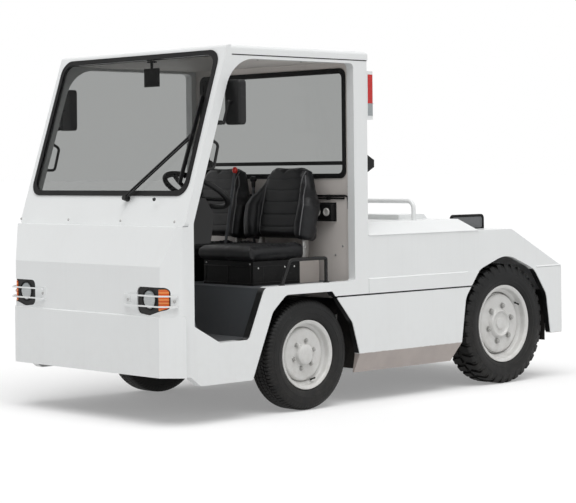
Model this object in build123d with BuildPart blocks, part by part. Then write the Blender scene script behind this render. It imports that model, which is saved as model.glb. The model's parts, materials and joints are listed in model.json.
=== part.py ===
from build123d import *

import os
from math import atan2, cos, degrees, hypot, pi, radians, sin, tan

# Airport baggage tug: an open-sided two-seat cab over the front axle, an engine hood that
# opens behind it, and a low tail with a stepped drop-pin coupling. All sizes are millimetres.
# A station is a distance rearward from the front bumper face, a height is above the ground,
# and X is positive towards the vehicle's left. The front of the vehicle faces -Y.

os.makedirs("parts", exist_ok=True)

# ---------------------------------------------------------------- driving dimensions
BUMPER_PROUD = 8           # how far the bumper stands ahead of the nose panel
GUARD_REACH = 22           # how far the lamp guards stand off the nose panel
FRONT_TIP = BUMPER_PROUD - GUARD_REACH
WHEELBASE = 1716
FRONT_AXLE = 1028          # station of the front axle
REAR_AXLE = FRONT_AXLE + WHEELBASE
TAIL_OVERHANG = 543        # from the rear axle to the tail's rear face
COUPLING_REACH = 143       # how far the tow coupling stands behind the tail
TAIL = REAR_AXLE + TAIL_OVERHANG
REAR_TIP = TAIL + COUPLING_REACH
ORIGIN_STATION = (FRONT_TIP + REAR_TIP) / 2
HALF_WIDTH = 738           # outer face of the body sides
ROOF_TOP = 2026
FIT = 0.05                 # radial clearance of a running fit
SEAT_GAP = 0.3             # soft pieces lie this far off what carries them

# Body walls
SIDE_WALL = 54             # cab side frame, outer skin to inner skin
REAR_SIDE_WALL = 40        # rear body side
NOSE_WALL = 30             # front panel
FRONT_WALL = 30            # windscreen panel, measured along the vehicle
REAR_WALL = 40             # wall behind the seats
ROOF_THICKNESS = 52
FLOOR_SHEET = 10
DECK_PLATE = 12
CAB_INNER = HALF_WIDTH - SIDE_WALL
REAR_INNER = HALF_WIDTH - REAR_SIDE_WALL

# Nose and bumper, in plan
BUMPER_CORNER = 649        # X where the flat front turns into the bevel
BUMPER_SIDE = 758          # X of the bumper's outer end
BUMPER_END = 95            # station of the bumper's outer end
BUMPER_BOTTOM = 263
BUMPER_TOP = 583
BEVEL_RISE = BUMPER_END / (BUMPER_SIDE - BUMPER_CORNER)
NOSE_FOLD = 845            # height where the nose starts to lean back
NOSE_TOP = 1054
NOSE_TOP_STATION = 70
NOSE_TOP_CORNER = 713
NOSE_BACK = 140            # station where the nose meets the cab side frame

# Windscreen panel
SCREEN_LEAN = 0.3236       # rearward run for each unit of height
SCREEN_BOTTOM = 1216
SCREEN_TOP = 2000
SCREEN_HALF = 697
SCREEN_RADIUS = 80
SEAL_WIDTH = 28
SEAL_DEPTH = 20
SEAL_PROUD = 7
GLASS = 6

# Cab openings and floors
SILL = 710
DOOR_REAR = 1385
CAB_REAR = 1495            # rear face of the B-pillars
SEAM = 626                 # seam between the cab and body sides and the skirts
SEAM_GAP = 6
RAIL_BOTTOM = ROOF_TOP - ROOF_THICKNESS
DOOR_TOP = RAIL_BOTTOM - 18
FOOTWELL = 430
PLATFORM = 700
WALL_FRONT = 1420          # front face of the wall behind the seats
WALL_LEDGE = 1186
WALL_STEP = 15             # the lower wall stands this far ahead of the upper

# Rear body
DECK = 965
DECK_END = REAR_AXLE + 53
TAIL_TOP = 717
TAIL_BOTTOM = 288
STEP_LINE = 712
STEP_DEPTH = 5
SKIRT_FOLD = 290
SKIRT_BOTTOM = 181
SKIRT_TUCK = 30

# Hood
HOOD_FRONT = 1505
HOOD_REAR = REAR_AXLE - 272
HOOD_CREST = HOOD_REAR - 79
HOOD_TOP = 1037
HOOD_TOP_HALF = 640
HOOD_SHEET = 14
HOOD_HINGE = (1512, 1053)  # station and height of the hinge line

# Wheels
RIM_FACE = 708             # X of the outer rim flanges



# ---------------------------------------------------------------- sketch planes and helpers
def side_view(x=0.0):
    """Plane seen from the left: station across, height up, extrudes towards the left."""
    return Plane(origin=(x, -ORIGIN_STATION, 0), x_dir=(0, 1, 0), z_dir=(1, 0, 0))


def plan_view(height=0.0):
    """Plane seen from above: X across, station rearward, extrudes upward."""
    return Plane(origin=(0, -ORIGIN_STATION, height), x_dir=(1, 0, 0), z_dir=(0, 0, 1))


def front_view(station=0.0):
    """Plane seen from ahead: X across, height up, extrudes forward."""
    return Plane(origin=(0, station - ORIGIN_STATION, 0), x_dir=(1, 0, 0), z_dir=(0, -1, 0))


def corners(rows):
    """The points of an outline whose rows are (across, up, corner radius)."""
    return [(row[0], row[1]) for row in rows]


def radii(rows):
    """The corner radii of the same rows."""
    return [row[2] for row in rows]


def block(x, station, height, mode=Mode.ADD):
    """Box between two X values, two stations and two heights, in the current part."""
    spans = (x, station, height)
    with Locations(tuple(sum(span) / 2 for span in spans)):
        return Box(*(abs(span[1] - span[0]) for span in spans), mode=mode)


def rod(start, end, radius, mode=Mode.ADD):
    """Round bar between two points (X, station, height), in the current part."""
    reach = Vector(end) - Vector(start)
    with Locations(Plane(origin=start, z_dir=reach).location):
        return Cylinder(
            radius, reach.length, align=(Align.CENTER, Align.CENTER, Align.MIN), mode=mode
        )


def place(form, mode=Mode.ADD):
    """Add a finished form where it already stands, inside a part on plan_view()."""
    with Locations((0, ORIGIN_STATION)):
        add(form, mode=mode)


def keep(builder, label):
    """Label a finished piece and write it under the same name."""
    builder.part.label = label
    export_step(builder.part, f"parts/{label}.step")


def screen_station(height):
    """Station of the windscreen panel's outer face at a height."""
    return 105.5 + (height - 1060) * SCREEN_LEAN


# ---------------------------------------------------------------- nose
def nose_plan(front, corner, bevel_end, side, back, rounding):
    """Nose outline from above as rows of (X, station, corner radius)."""
    half = [(corner, front, 12), (side, bevel_end, rounding), (side, back, 0)]
    return half + [(-x, station, radius) for x, station, radius in reversed(half)]


NOSE_SIDE_END = BUMPER_PROUD + (HALF_WIDTH - BUMPER_CORNER) * BEVEL_RISE


def nose_form(inset, back):
    """Solid inside the nose skin: a straight lower prism and a top that leans back."""
    side = HALF_WIDTH - (SIDE_WALL if inset > 10 else inset)
    run = inset * (hypot(1, BEVEL_RISE) - 1) / BEVEL_RISE
    low_front = BUMPER_PROUD + inset
    low_corner = BUMPER_CORNER - run
    low_end = low_front + (side - low_corner) * BEVEL_RISE
    top_corner = min(NOSE_TOP_CORNER - run, side - 9)
    top_front = NOSE_TOP_STATION + inset
    top_end = top_front + (side - top_corner) * BEVEL_RISE
    low = nose_plan(low_front, low_corner, low_end, side, back, 40)
    top = nose_plan(top_front, top_corner, top_end, side, back, 12)
    with BuildPart() as form:
        with BuildSketch(plan_view(BUMPER_BOTTOM)):
            with BuildLine():
                FilletPolyline(*corners(low), radius=radii(low), close=True)
            make_face()
        extrude(amount=NOSE_FOLD - BUMPER_BOTTOM)
        with BuildSketch(plan_view(NOSE_FOLD)):
            with BuildLine():
                FilletPolyline(*corners(low), radius=radii(low), close=True)
            make_face()
        with BuildSketch(plan_view(NOSE_TOP)):
            with BuildLine():
                FilletPolyline(*corners(top), radius=radii(top), close=True)
            make_face()
        loft(ruled=True)
    return form.part


# Lamp recess outline in the front view, left side: (X, height, corner radius)
LAMP_RECESS = [
    (461, 738, 30),
    (461, 598, 34),
    (560, 588, 60),
    (692, 625, 26),
    (692, 738, 30),
]
POD_INSET = 6              # how far the lamp pods lie inside the nose skin
POD_DEPTH = 44

with BuildPart() as lamp_recess:
    with BuildSketch(front_view(NOSE_BACK)):
        with BuildLine():
            FilletPolyline(*corners(LAMP_RECESS), radius=radii(LAMP_RECESS), close=True)
        make_face()
    extrude(amount=NOSE_BACK + 20)
    mirror(about=Plane.YZ)

with BuildPart(plan_view()) as nose_hollow:
    place(nose_form(NOSE_WALL, NOSE_BACK + 1))
    block((-800, 800), (-50, 300), (NOSE_TOP - DECK_PLATE, NOSE_TOP + 100), Mode.SUBTRACT)

with BuildPart() as front_fascia:
    add(nose_form(0, NOSE_BACK))
    add(nose_hollow.part, mode=Mode.SUBTRACT)
    add(lamp_recess.part, mode=Mode.SUBTRACT)
keep(front_fascia, "front_fascia")

with BuildPart() as front_bumper:
    with BuildSketch(plan_view(BUMPER_BOTTOM)):
        end_x = BUMPER_SIDE - BUMPER_PROUD * BEVEL_RISE / (1 + BEVEL_RISE**2)
        end_y = BUMPER_END + BUMPER_PROUD / (1 + BEVEL_RISE**2)
        half = [(BUMPER_CORNER, 0), (BUMPER_SIDE, BUMPER_END)]
        inner = [(end_x, end_y), (BUMPER_CORNER, BUMPER_PROUD)]
        ring = half + inner
        with BuildLine():
            Polyline(*ring, *[(-x, y) for x, y in reversed(ring)], close=True)
        make_face()
    extrude(amount=BUMPER_TOP - BUMPER_BOTTOM)
    chamfer(front_bumper.faces().sort_by(Axis.Z)[-1].edges().sort_by(Axis.Y)[0], 4)
keep(front_bumper, "front_bumper")

# ---------------------------------------------------------------- windscreen panel and glass
lean_length = hypot(1, SCREEN_LEAN)
screen_height = (SCREEN_TOP - SCREEN_BOTTOM) * lean_length
screen_middle = (SCREEN_TOP + SCREEN_BOTTOM) / 2
SCREEN = Plane(
    origin=(0, screen_station(screen_middle) - ORIGIN_STATION, screen_middle),
    x_dir=(1, 0, 0),
    z_dir=(0, -1, SCREEN_LEAN),
)

with BuildPart() as cab_front:
    with BuildSketch(side_view(-HALF_WIDTH)):
        with BuildLine():
            Polyline(
                (screen_station(NOSE_TOP), NOSE_TOP),
                (screen_station(ROOF_TOP), ROOF_TOP),
                (screen_station(ROOF_TOP) + FRONT_WALL, ROOF_TOP),
                (screen_station(NOSE_TOP) + FRONT_WALL, NOSE_TOP),
                close=True,
            )
        make_face()
    extrude(amount=2 * HALF_WIDTH)
    front_face = cab_front.faces().sort_by(Axis.Y)[0]
    fillet(front_face.edges().filter_by(Axis.X, reverse=True), 22)
    fillet(cab_front.edges().filter_by(Axis.X).group_by(Axis.Z)[-1].sort_by(Axis.Y)[0], 20)
    with BuildSketch(SCREEN.offset(20)):
        RectangleRounded(2 * SCREEN_HALF, screen_height, SCREEN_RADIUS)
    extrude(amount=-80, mode=Mode.SUBTRACT)
keep(cab_front, "cab_front")

# Rear window: plane on the wall's front face, seen from ahead
REAR_WINDOW_HALF = 640
REAR_WINDOW_BOTTOM = 1297
REAR_WINDOW_TOP = 1936
REAR_WINDOW_RADIUS = 45
REAR_BAR = 1386
window_height = REAR_WINDOW_TOP - REAR_WINDOW_BOTTOM
window_middle = (REAR_WINDOW_TOP + REAR_WINDOW_BOTTOM) / 2
REAR_WINDOW = Plane(
    origin=(0, WALL_FRONT + REAR_WALL / 2 - ORIGIN_STATION, window_middle),
    x_dir=(1, 0, 0),
    z_dir=(0, -1, 0),
)

# Windows: plane, opening width, opening height, corner radius, seal front, seal back
WINDOWS = [
    (SCREEN, 2 * SCREEN_HALF, screen_height, SCREEN_RADIUS, SEAL_PROUD, SEAL_PROUD - SEAL_DEPTH),
    (REAR_WINDOW, 2 * REAR_WINDOW_HALF, window_height, REAR_WINDOW_RADIUS, 26, -26),
]

with BuildPart() as window_seals:
    for plane, width, height, radius, front, back in WINDOWS:
        with BuildSketch(plane.offset(back)):
            RectangleRounded(width, height, radius)
            RectangleRounded(
                width - 2 * SEAL_WIDTH,
                height - 2 * SEAL_WIDTH,
                radius - SEAL_WIDTH / 2,
                mode=Mode.SUBTRACT,
            )
        extrude(amount=front - back)
    with BuildSketch(REAR_WINDOW.offset(-26)):
        with Locations((0, REAR_BAR - window_middle)):
            Rectangle(2 * (REAR_WINDOW_HALF - SEAL_WIDTH), 22)
    extrude(amount=52)
keep(window_seals, "window_seals")

with BuildPart() as cab_glass:
    for plane, width, height, radius, front, back in WINDOWS:
        with BuildSketch(plane.offset(-GLASS / 2)):
            RectangleRounded(
                width - 2 * SEAL_WIDTH, height - 2 * SEAL_WIDTH, radius - SEAL_WIDTH / 2
            )
        extrude(amount=GLASS)
    with BuildSketch(REAR_WINDOW.offset(-26)):
        with Locations((0, REAR_BAR - window_middle)):
            Rectangle(2 * (REAR_WINDOW_HALF - SEAL_WIDTH), 22)
    extrude(amount=52, mode=Mode.SUBTRACT)
keep(cab_glass, "cab_glass")

# ---------------------------------------------------------------- cab sides
# Outline seen from the left: (station, height, corner radius)
CAB_SIDE = [
    (NOSE_BACK, BUMPER_BOTTOM, 0),
    (210, 210, 15),
    (582, 210, 8),
    (735, 570, 70),
    (838, 659, 60),
    (1200, 659, 10),
    (1224, SEAM + SEAM_GAP / 2, 8),
    (CAB_REAR, SEAM + SEAM_GAP / 2, 0),
    (CAB_REAR, RAIL_BOTTOM, 0),
    (screen_station(RAIL_BOTTOM) + FRONT_WALL, RAIL_BOTTOM, 0),
    (screen_station(NOSE_TOP) + FRONT_WALL, NOSE_TOP, 0),
    (NOSE_BACK, NOSE_TOP, 0),
]
DOOR_OPENING = [
    (170, 527, 12),
    (346, 431, 8),
    (557, 431, 28),
    (680, SILL, 55),
    (DOOR_REAR, SILL, 14),
    (DOOR_REAR, DOOR_TOP, 30),
    (462, DOOR_TOP, 215),
    (170, 1072, 60),
]

with BuildPart() as cab_side_left:
    with BuildSketch(side_view(CAB_INNER)):
        with BuildLine():
            FilletPolyline(*corners(CAB_SIDE), radius=radii(CAB_SIDE), close=True)
        make_face()
        with BuildLine():
            FilletPolyline(*corners(DOOR_OPENING), radius=radii(DOOR_OPENING), close=True)
        make_face(mode=Mode.SUBTRACT)
    extrude(amount=SIDE_WALL)
keep(cab_side_left, "cab_side_left")

with BuildPart() as cab_side_right:
    mirror(cab_side_left.part, about=Plane.YZ)
keep(cab_side_right, "cab_side_right")

# ---------------------------------------------------------------- roof
with BuildPart() as roof:
    with BuildSketch(side_view(-HALF_WIDTH)):
        with BuildLine():
            Polyline(
                (screen_station(RAIL_BOTTOM) + FRONT_WALL, RAIL_BOTTOM),
                (screen_station(ROOF_TOP) + FRONT_WALL, ROOF_TOP),
                (CAB_REAR + 8, ROOF_TOP),
                (CAB_REAR + 8, RAIL_BOTTOM),
                close=True,
            )
        make_face()
    extrude(amount=2 * HALF_WIDTH)
    top = roof.faces().sort_by(Axis.Z)[-1]
    fillet(top.edges().sort_by(Axis.Y)[1:], 20)
keep(roof, "roof")

# ---------------------------------------------------------------- wall behind the seats
WALL_BOTTOM = 600

with BuildPart(plan_view()) as cab_rear_wall:
    wall_back = WALL_FRONT + REAR_WALL
    block((-CAB_INNER, CAB_INNER), (WALL_FRONT, wall_back), (WALL_BOTTOM, RAIL_BOTTOM))
    block(
        (-CAB_INNER, CAB_INNER), (WALL_FRONT - WALL_STEP, WALL_FRONT), (WALL_BOTTOM, WALL_LEDGE)
    )
    with BuildSketch(REAR_WINDOW.offset(30)):
        RectangleRounded(2 * REAR_WINDOW_HALF, window_height, REAR_WINDOW_RADIUS)
    extrude(amount=-60, mode=Mode.SUBTRACT)
keep(cab_rear_wall, "cab_rear_wall")

# ---------------------------------------------------------------- floor
# Upper surface of the floor sheet: (station, height)
FLOOR_LINE = [
    (NOSE_BACK + 2, 760),
    (262, FOOTWELL),
    (655, FOOTWELL),
    (690, PLATFORM),
    (WALL_FRONT - WALL_STEP, PLATFORM),
]

with BuildPart() as floor_pan:
    with BuildSketch(side_view(-CAB_INNER)):
        under = [
            (NOSE_BACK + 2, 760 - 3 * FLOOR_SHEET),
            (262 - FLOOR_SHEET / 2, FOOTWELL - FLOOR_SHEET),
            (655 + FLOOR_SHEET, FOOTWELL - FLOOR_SHEET),
            (690 + FLOOR_SHEET, PLATFORM - FLOOR_SHEET),
            (WALL_FRONT - WALL_STEP, PLATFORM - FLOOR_SHEET),
        ]
        with BuildLine():
            Polyline(*FLOOR_LINE, *reversed(under), close=True)
        make_face()
    extrude(amount=2 * CAB_INNER)
keep(floor_pan, "floor_pan")

# ---------------------------------------------------------------- dashboard
# Outline seen from the left: (station, height, corner radius)
DASHBOARD = [
    (NOSE_BACK + 1, 960, 0),
    (NOSE_BACK + 1, NOSE_TOP + 6, 0),
    (screen_station(1195) + FRONT_WALL + 2, 1195, 8),
    (300, 1205, 25),
    (362, 1110, 30),
    (335, 960, 12),
]

with BuildPart() as dashboard:
    with BuildSketch(side_view(-CAB_INNER)):
        with BuildLine():
            FilletPolyline(*corners(DASHBOARD), radius=radii(DASHBOARD), close=True)
        make_face()
    extrude(amount=2 * CAB_INNER)
keep(dashboard, "dashboard")

# ---------------------------------------------------------------- steering wheel and column
WHEEL_CENTRE = (300, 570, 1240)        # X, station, height
COLUMN_TILT = 30                       # lean of the column from the vertical
WHEEL_RIM = 190
WHEEL_GRIP = 14
HUB_RADIUS = 42
COLUMN_RADIUS = 27
SHAFT_RADIUS = 11
HUB_DROP = 62                          # hub underside below the rim's plane

# Dished spoke, seen edge on: (distance from the column's axis, height along it)
SPOKE = [(20, -50), (WHEEL_RIM - 40, -24), (WHEEL_RIM, -9), (WHEEL_RIM, 2), (WHEEL_RIM - 44, -12), (20, -38)]
SPOKE_ANGLES = (-90, 30, 150)
SPOKE_WIDTH = 26

tilt = radians(COLUMN_TILT)
COLUMN_AXIS = Vector(0, sin(tilt), cos(tilt))
wheel_origin = Vector(WHEEL_CENTRE[0], WHEEL_CENTRE[1] - ORIGIN_STATION, WHEEL_CENTRE[2])
WHEEL_PLANE = Plane(origin=wheel_origin, x_dir=(1, 0, 0), z_dir=COLUMN_AXIS)

with BuildPart(WHEEL_PLANE) as steering_wheel:
    Torus(WHEEL_RIM, WHEEL_GRIP)
    with BuildSketch(WHEEL_PLANE.offset(-HUB_DROP)):
        Circle(HUB_RADIUS)
    extrude(amount=HUB_DROP - 6, taper=10)
    for angle in SPOKE_ANGLES:
        turned = WHEEL_PLANE.location * Location((0, 0, 0), (0, 0, angle))
        with BuildSketch(Plane(turned * Location((0, 0, 0), (90, 0, 0)))):
            with BuildLine():
                Polyline(*SPOKE, close=True)
            make_face()
        extrude(amount=SPOKE_WIDTH / 2, both=True)
    with BuildSketch(WHEEL_PLANE.offset(-HUB_DROP)):
        Circle(SHAFT_RADIUS + FIT)
    extrude(amount=30, mode=Mode.SUBTRACT)
keep(steering_wheel, "steering_wheel")

TOE_FOOT = FLOOR_LINE[1]
TOE_TOP = FLOOR_LINE[0]
toe_normal = Vector(0, TOE_TOP[1] - TOE_FOOT[1], TOE_FOOT[0] - TOE_TOP[0])
TOE_BOARD = Plane(
    origin=(0, TOE_FOOT[0] - ORIGIN_STATION, TOE_FOOT[1]), x_dir=(-1, 0, 0), z_dir=toe_normal
)

with BuildPart(WHEEL_PLANE) as steering_column:
    with Locations((0, 0, -HUB_DROP - 4)):
        Cylinder(COLUMN_RADIUS, 900, align=(Align.CENTER, Align.CENTER, Align.MAX))
        Cylinder(SHAFT_RADIUS, 30, align=(Align.CENTER, Align.CENTER, Align.MIN))
    for reach in (-150, 150):
        with Locations(Plane(origin=(0, 0, -HUB_DROP - 34), z_dir=(reach, 0, 0)).location):
            Cylinder(6, abs(reach), align=(Align.CENTER, Align.CENTER, Align.MIN))
    split(bisect_by=TOE_BOARD, keep=Keep.TOP)
keep(steering_column, "steering_column")

# ---------------------------------------------------------------- pedals and levers
# Pedals on the toe board: (X, height up the board, pad width, pad height)
PEDALS = [
    (175, 110, 55, 110),
    (245, 130, 75, 60),
    (365, 130, 75, 60),
]
PEDAL_LIFT = 70
# Levers standing on the platform: (foot station, top station, top height, knob radius)
LEVERS = [
    (1010, 1128, 1350, 15),
    (1278, 1276, 1295, 20),
]

with BuildPart(plan_view()) as floor_controls:
    for x, rise, width, height in PEDALS:
        with BuildSketch(TOE_BOARD):
            with Locations((-x, rise)):
                Rectangle(16, 22)
        extrude(amount=PEDAL_LIFT)
        with BuildSketch(TOE_BOARD.offset(PEDAL_LIFT)):
            with Locations((-x, rise)):
                RectangleRounded(width, height, 8)
        extrude(amount=12)
    for foot, top, height, knob in LEVERS:
        block((-30, 30), (foot - 45, foot + 45), (PLATFORM, PLATFORM + 30))
        rod((0, foot, PLATFORM + 10), (0, top, height), 8)
        with Locations((0, top, height)):
            Sphere(knob)
keep(floor_controls, "floor_controls")

# ---------------------------------------------------------------- seats
SEAT_X = 300               # middle of each seat
SEAT_HALF = 230
CUSHION_FRONT = 770
CUSHION_REAR = 1200
CUSHION_TOP = 925
SEAT_BASE_TOP = 835
SEAT_BASE_REAR = 1318
BACK_LEAN = 9
BACK_THICKNESS = 105
BACK_LENGTH = 508

# Backrest outline, left half, from the seat's middle: (X, length up the back, corner radius)
BACKREST = [
    (235, 0, 30),
    (242, 250, 60),
    (150, BACK_LENGTH, 50),
]

with BuildPart(plan_view()) as seat_base:
    for x in (-SEAT_X, SEAT_X):
        block((x - 210, x + 210), (800, SEAT_BASE_REAR), (PLATFORM, SEAT_BASE_TOP))
keep(seat_base, "seat_base")

back_drop = BACK_THICKNESS * sin(radians(BACK_LEAN))
back_foot = SEAT_BASE_TOP + SEAT_GAP + back_drop
for seat, x in (("driver", SEAT_X), ("passenger", -SEAT_X)):
    with BuildPart(plan_view()) as cushion:
        block(
            (x - SEAT_HALF, x + SEAT_HALF),
            (CUSHION_FRONT, CUSHION_REAR),
            (SEAT_BASE_TOP + SEAT_GAP, CUSHION_TOP),
        )
        fillet(cushion.edges().filter_by(Axis.Z), 50)
        fillet(cushion.faces().sort_by(Axis.Z)[-1].edges(), 20)
    keep(cushion, f"{seat}_cushion")
    back_plane = Plane(
        origin=(x, CUSHION_REAR + 3 - ORIGIN_STATION, back_foot),
        x_dir=(1, 0, 0),
        z_dir=(0, -cos(radians(BACK_LEAN)), sin(radians(BACK_LEAN))),
    )
    with BuildPart() as backrest:
        with BuildSketch(back_plane):
            rows = BACKREST + [(-across, up, radius) for across, up, radius in BACKREST[::-1]]
            with BuildLine():
                FilletPolyline(*corners(rows), radius=radii(rows), close=True)
            make_face()
        extrude(amount=-BACK_THICKNESS)
    keep(backrest, f"{seat}_backrest")

# ---------------------------------------------------------------- rails, handles and mirrors
RAIL_X = HALF_WIDTH - SIDE_WALL / 2

with BuildPart() as hip_hoops:
    with BuildLine(side_view(RAIL_X)) as hoop_line:
        FilletPolyline((851, SILL), (851, 849), (1175, 849), (1175, SILL), radius=[65, 25])
    with BuildSketch(Plane(origin=hoop_line.line @ 0, z_dir=hoop_line.line % 0)):
        Circle(10)
    sweep()
    mirror(about=Plane.YZ)
keep(hip_hoops, "hip_hoops")

with BuildPart() as grab_handles:
    with BuildLine(side_view(RAIL_X)) as handle_line:
        FilletPolyline((296, 1531), (372, 1489), (337, 1360), (240, 1360), radius=[22, 22])
    with BuildSketch(Plane(origin=handle_line.line @ 0, z_dir=handle_line.line % 0)):
        Circle(8)
    sweep()
    add(cab_side_left.part, mode=Mode.SUBTRACT)
    mirror(about=Plane.YZ)
keep(grab_handles, "grab_handles")

MIRROR_X = 747
MIRROR_WIDTH = 126
MIRROR_BOTTOM = 1595
MIRROR_TALL = 243
MIRROR_STATION = (440, 486)
ARM_FOOT = (724, MIRROR_STATION[0] - 40, MIRROR_BOTTOM + 11)
ARM_HEAD = (MIRROR_X, MIRROR_STATION[0] - 22, MIRROR_BOTTOM + MIRROR_TALL / 2)

with BuildPart(plan_view()) as door_mirrors:
    mirror_span = (MIRROR_X - MIRROR_WIDTH / 2, MIRROR_X + MIRROR_WIDTH / 2)
    block(mirror_span, MIRROR_STATION, (MIRROR_BOTTOM, MIRROR_BOTTOM + MIRROR_TALL))
    fillet(door_mirrors.edges().filter_by(Axis.Y), 22)
    fillet(door_mirrors.faces().sort_by(Axis.Y)[0].edges(), 14)
    rod((ARM_FOOT[0], ARM_FOOT[1] - 70, ARM_FOOT[2]), ARM_FOOT, 7)
    rod(ARM_FOOT, ARM_HEAD, 7)
    rod(ARM_HEAD, (MIRROR_X, MIRROR_STATION[0] + 5, ARM_HEAD[2]), 7)
    for joint in (ARM_FOOT, ARM_HEAD):
        with Locations(joint):
            Sphere(11)
    place(cab_side_left.part, Mode.SUBTRACT)
    mirror(about=Plane.YZ)
keep(door_mirrors, "door_mirrors")

with BuildPart(plan_view()) as cab_mirror:
    rod((40, 470, 1900), (40, 470, RAIL_BOTTOM), 8)
    block((15, 65), (455, 485), (RAIL_BOTTOM - 12, RAIL_BOTTOM))
    block((-22, 102), (464, 476), (1826, 1930))
keep(cab_mirror, "cab_mirror")

# Wiper, laid out on the windscreen: X across, slope distance from its middle
WIPER_PIVOT = (215, -430)
BLADE_FOOT = (636, -352)
BLADE_HEAD = (655, 146)
ARM_JOIN = (646, -90)
BLADE_LIFT = 4
ARM_LIFT = 26

with BuildPart(SCREEN) as wiper:
    blade = Vector(*BLADE_HEAD) - Vector(*BLADE_FOOT)
    arm = Vector(*ARM_JOIN) - Vector(*WIPER_PIVOT)
    with BuildSketch(SCREEN.offset(BLADE_LIFT)):
        with Locations((Vector(*BLADE_HEAD) + Vector(*BLADE_FOOT)) / 2):
            SlotOverall(blade.length, 9, rotation=degrees(atan2(blade.Y, blade.X)))
    extrude(amount=ARM_LIFT - BLADE_LIFT)
    with BuildSketch(SCREEN.offset(ARM_LIFT - 4)):
        for side in (-10, 10):
            with Locations((Vector(*ARM_JOIN) + Vector(*WIPER_PIVOT)) / 2 + Vector(0, side)):
                SlotOverall(arm.length, 7, rotation=degrees(atan2(arm.Y, arm.X)))
        with Locations(ARM_JOIN):
            Rectangle(16, 30)
    extrude(amount=8)
    with BuildSketch(SCREEN):
        with Locations(WIPER_PIVOT):
            Circle(16)
    extrude(amount=ARM_LIFT + 8)
keep(wiper, "wiper")

# ---------------------------------------------------------------- lamps
LAMP_CENTRE = (555, 672)   # X and height of the round lamp
LAMP_RADIUS = 50
LAMP_POCKET = 34
LAMP_FACE = BUMPER_PROUD + POD_INSET
# Amber lens outline in the front view, left side: (X, height, corner radius)
AMBER = [
    (634, 728, 6),
    (634, 612, 6),
    (682, 630, 16),
    (682, 728, 16),
]
AMBER_DEPTH = 28
LENS_PROUD = 3

with BuildPart() as amber_prism:
    with BuildSketch(front_view(NOSE_BACK)):
        with BuildLine():
            FilletPolyline(*corners(AMBER), radius=radii(AMBER), close=True)
        make_face()
    extrude(amount=NOSE_BACK + 20)
    mirror(about=Plane.YZ)
amber_back = nose_form(AMBER_DEPTH, NOSE_BACK + 1)

with BuildPart() as amber_pocket:
    add(amber_prism.part)
    add(amber_back, mode=Mode.SUBTRACT)

with BuildPart() as amber_lens:
    add(nose_form(POD_INSET - LENS_PROUD, NOSE_BACK))
    add(amber_prism.part, mode=Mode.INTERSECT)
    add(amber_back, mode=Mode.SUBTRACT)

with BuildPart(plan_view()) as headlamps:
    place(nose_form(POD_INSET, NOSE_BACK))
    place(lamp_recess.part, Mode.INTERSECT)
    place(nose_form(POD_INSET + POD_DEPTH, NOSE_BACK + 1), Mode.SUBTRACT)
    for x in (-LAMP_CENTRE[0], LAMP_CENTRE[0]):
        rod(
            (x, -50, LAMP_CENTRE[1]),
            (x, LAMP_FACE + LAMP_POCKET, LAMP_CENTRE[1]),
            LAMP_RADIUS,
            mode=Mode.SUBTRACT,
        )
    place(amber_pocket.part, Mode.SUBTRACT)
keep(headlamps, "headlamps")

# Tail lamps on the rear of the B-pillars
TAIL_LAMP_X = (664, 730)
TAIL_LAMP_STATION = (CAB_REAR, CAB_REAR + 63)
TAIL_LAMP_BOTTOM = 1635
TAIL_LAMP_TALL = 281
TAIL_LAMP_HEIGHT = (TAIL_LAMP_BOTTOM, TAIL_LAMP_BOTTOM + TAIL_LAMP_TALL)
TAIL_LENS_STATION = (CAB_REAR + 16, CAB_REAR + 55)
TAIL_LENS_HEIGHT = (TAIL_LAMP_HEIGHT[0] + 23, TAIL_LAMP_HEIGHT[1] - 20)
TAIL_LENS_INSET = 12       # white rim either side of the rear-facing lens


def tail_lens():
    """Lens block: open to both sides of the lamp, with a narrower face to the rear."""
    low, high = TAIL_LAMP_X
    sides = (low - 1.5, high + 1.5)
    rear = (low + TAIL_LENS_INSET, high - TAIL_LENS_INSET)
    with BuildPart(plan_view()) as lens:
        block(sides, TAIL_LENS_STATION, TAIL_LENS_HEIGHT)
        block(rear, (TAIL_LENS_STATION[1], TAIL_LAMP_STATION[1] + 1.5), TAIL_LENS_HEIGHT)
    return lens.part


with BuildPart(plan_view()) as tail_lamps:
    block(TAIL_LAMP_X, TAIL_LAMP_STATION, TAIL_LAMP_HEIGHT)
    fillet(tail_lamps.faces().sort_by(Axis.Y)[-1].edges(), 9)
    place(tail_lens(), Mode.SUBTRACT)
    mirror(about=Plane.YZ)
keep(tail_lamps, "tail_lamps")

with BuildPart(plan_view()) as lamp_lenses:
    x = LAMP_CENTRE[0]
    rod(
        (x, LAMP_FACE + LAMP_POCKET, LAMP_CENTRE[1]),
        (x, LAMP_FACE - LENS_PROUD, LAMP_CENTRE[1]),
        LAMP_RADIUS - 0.3,
    )
    fillet(lamp_lenses.edges().filter_by(GeomType.CIRCLE).sort_by(Axis.Y)[0], 9)
    place(tail_lens())
    mirror(about=Plane.YZ)
    place(amber_lens.part)
keep(lamp_lenses, "lamp_lenses")

# Lamp guards: two bars across each lamp on an end plate either side
GUARD_BAR = 8
GUARD_HEIGHTS = (638, 693)
GUARD_START = 368          # X of the inner leg
GUARD_END = 722            # X where the outer leg meets the bevel
slope = hypot(1, BEVEL_RISE)
bevel_out = (BEVEL_RISE / slope, -1 / slope)
bevel_along = (1 / slope, BEVEL_RISE / slope)


def off_bevel(x, reach):
    """Point (X, station) off the bevel's face, reached square out from X on the face."""
    station = BUMPER_PROUD + (x - BUMPER_CORNER) * BEVEL_RISE
    return (x + reach * bevel_out[0], station + reach * bevel_out[1])


def bevel_turn(reach):
    """Point where a line standing off the front meets the line standing off the bevel."""
    x, station = off_bevel(BUMPER_CORNER, reach)
    return (x - (station - BUMPER_PROUD + reach) / BEVEL_RISE, BUMPER_PROUD - reach)


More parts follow.
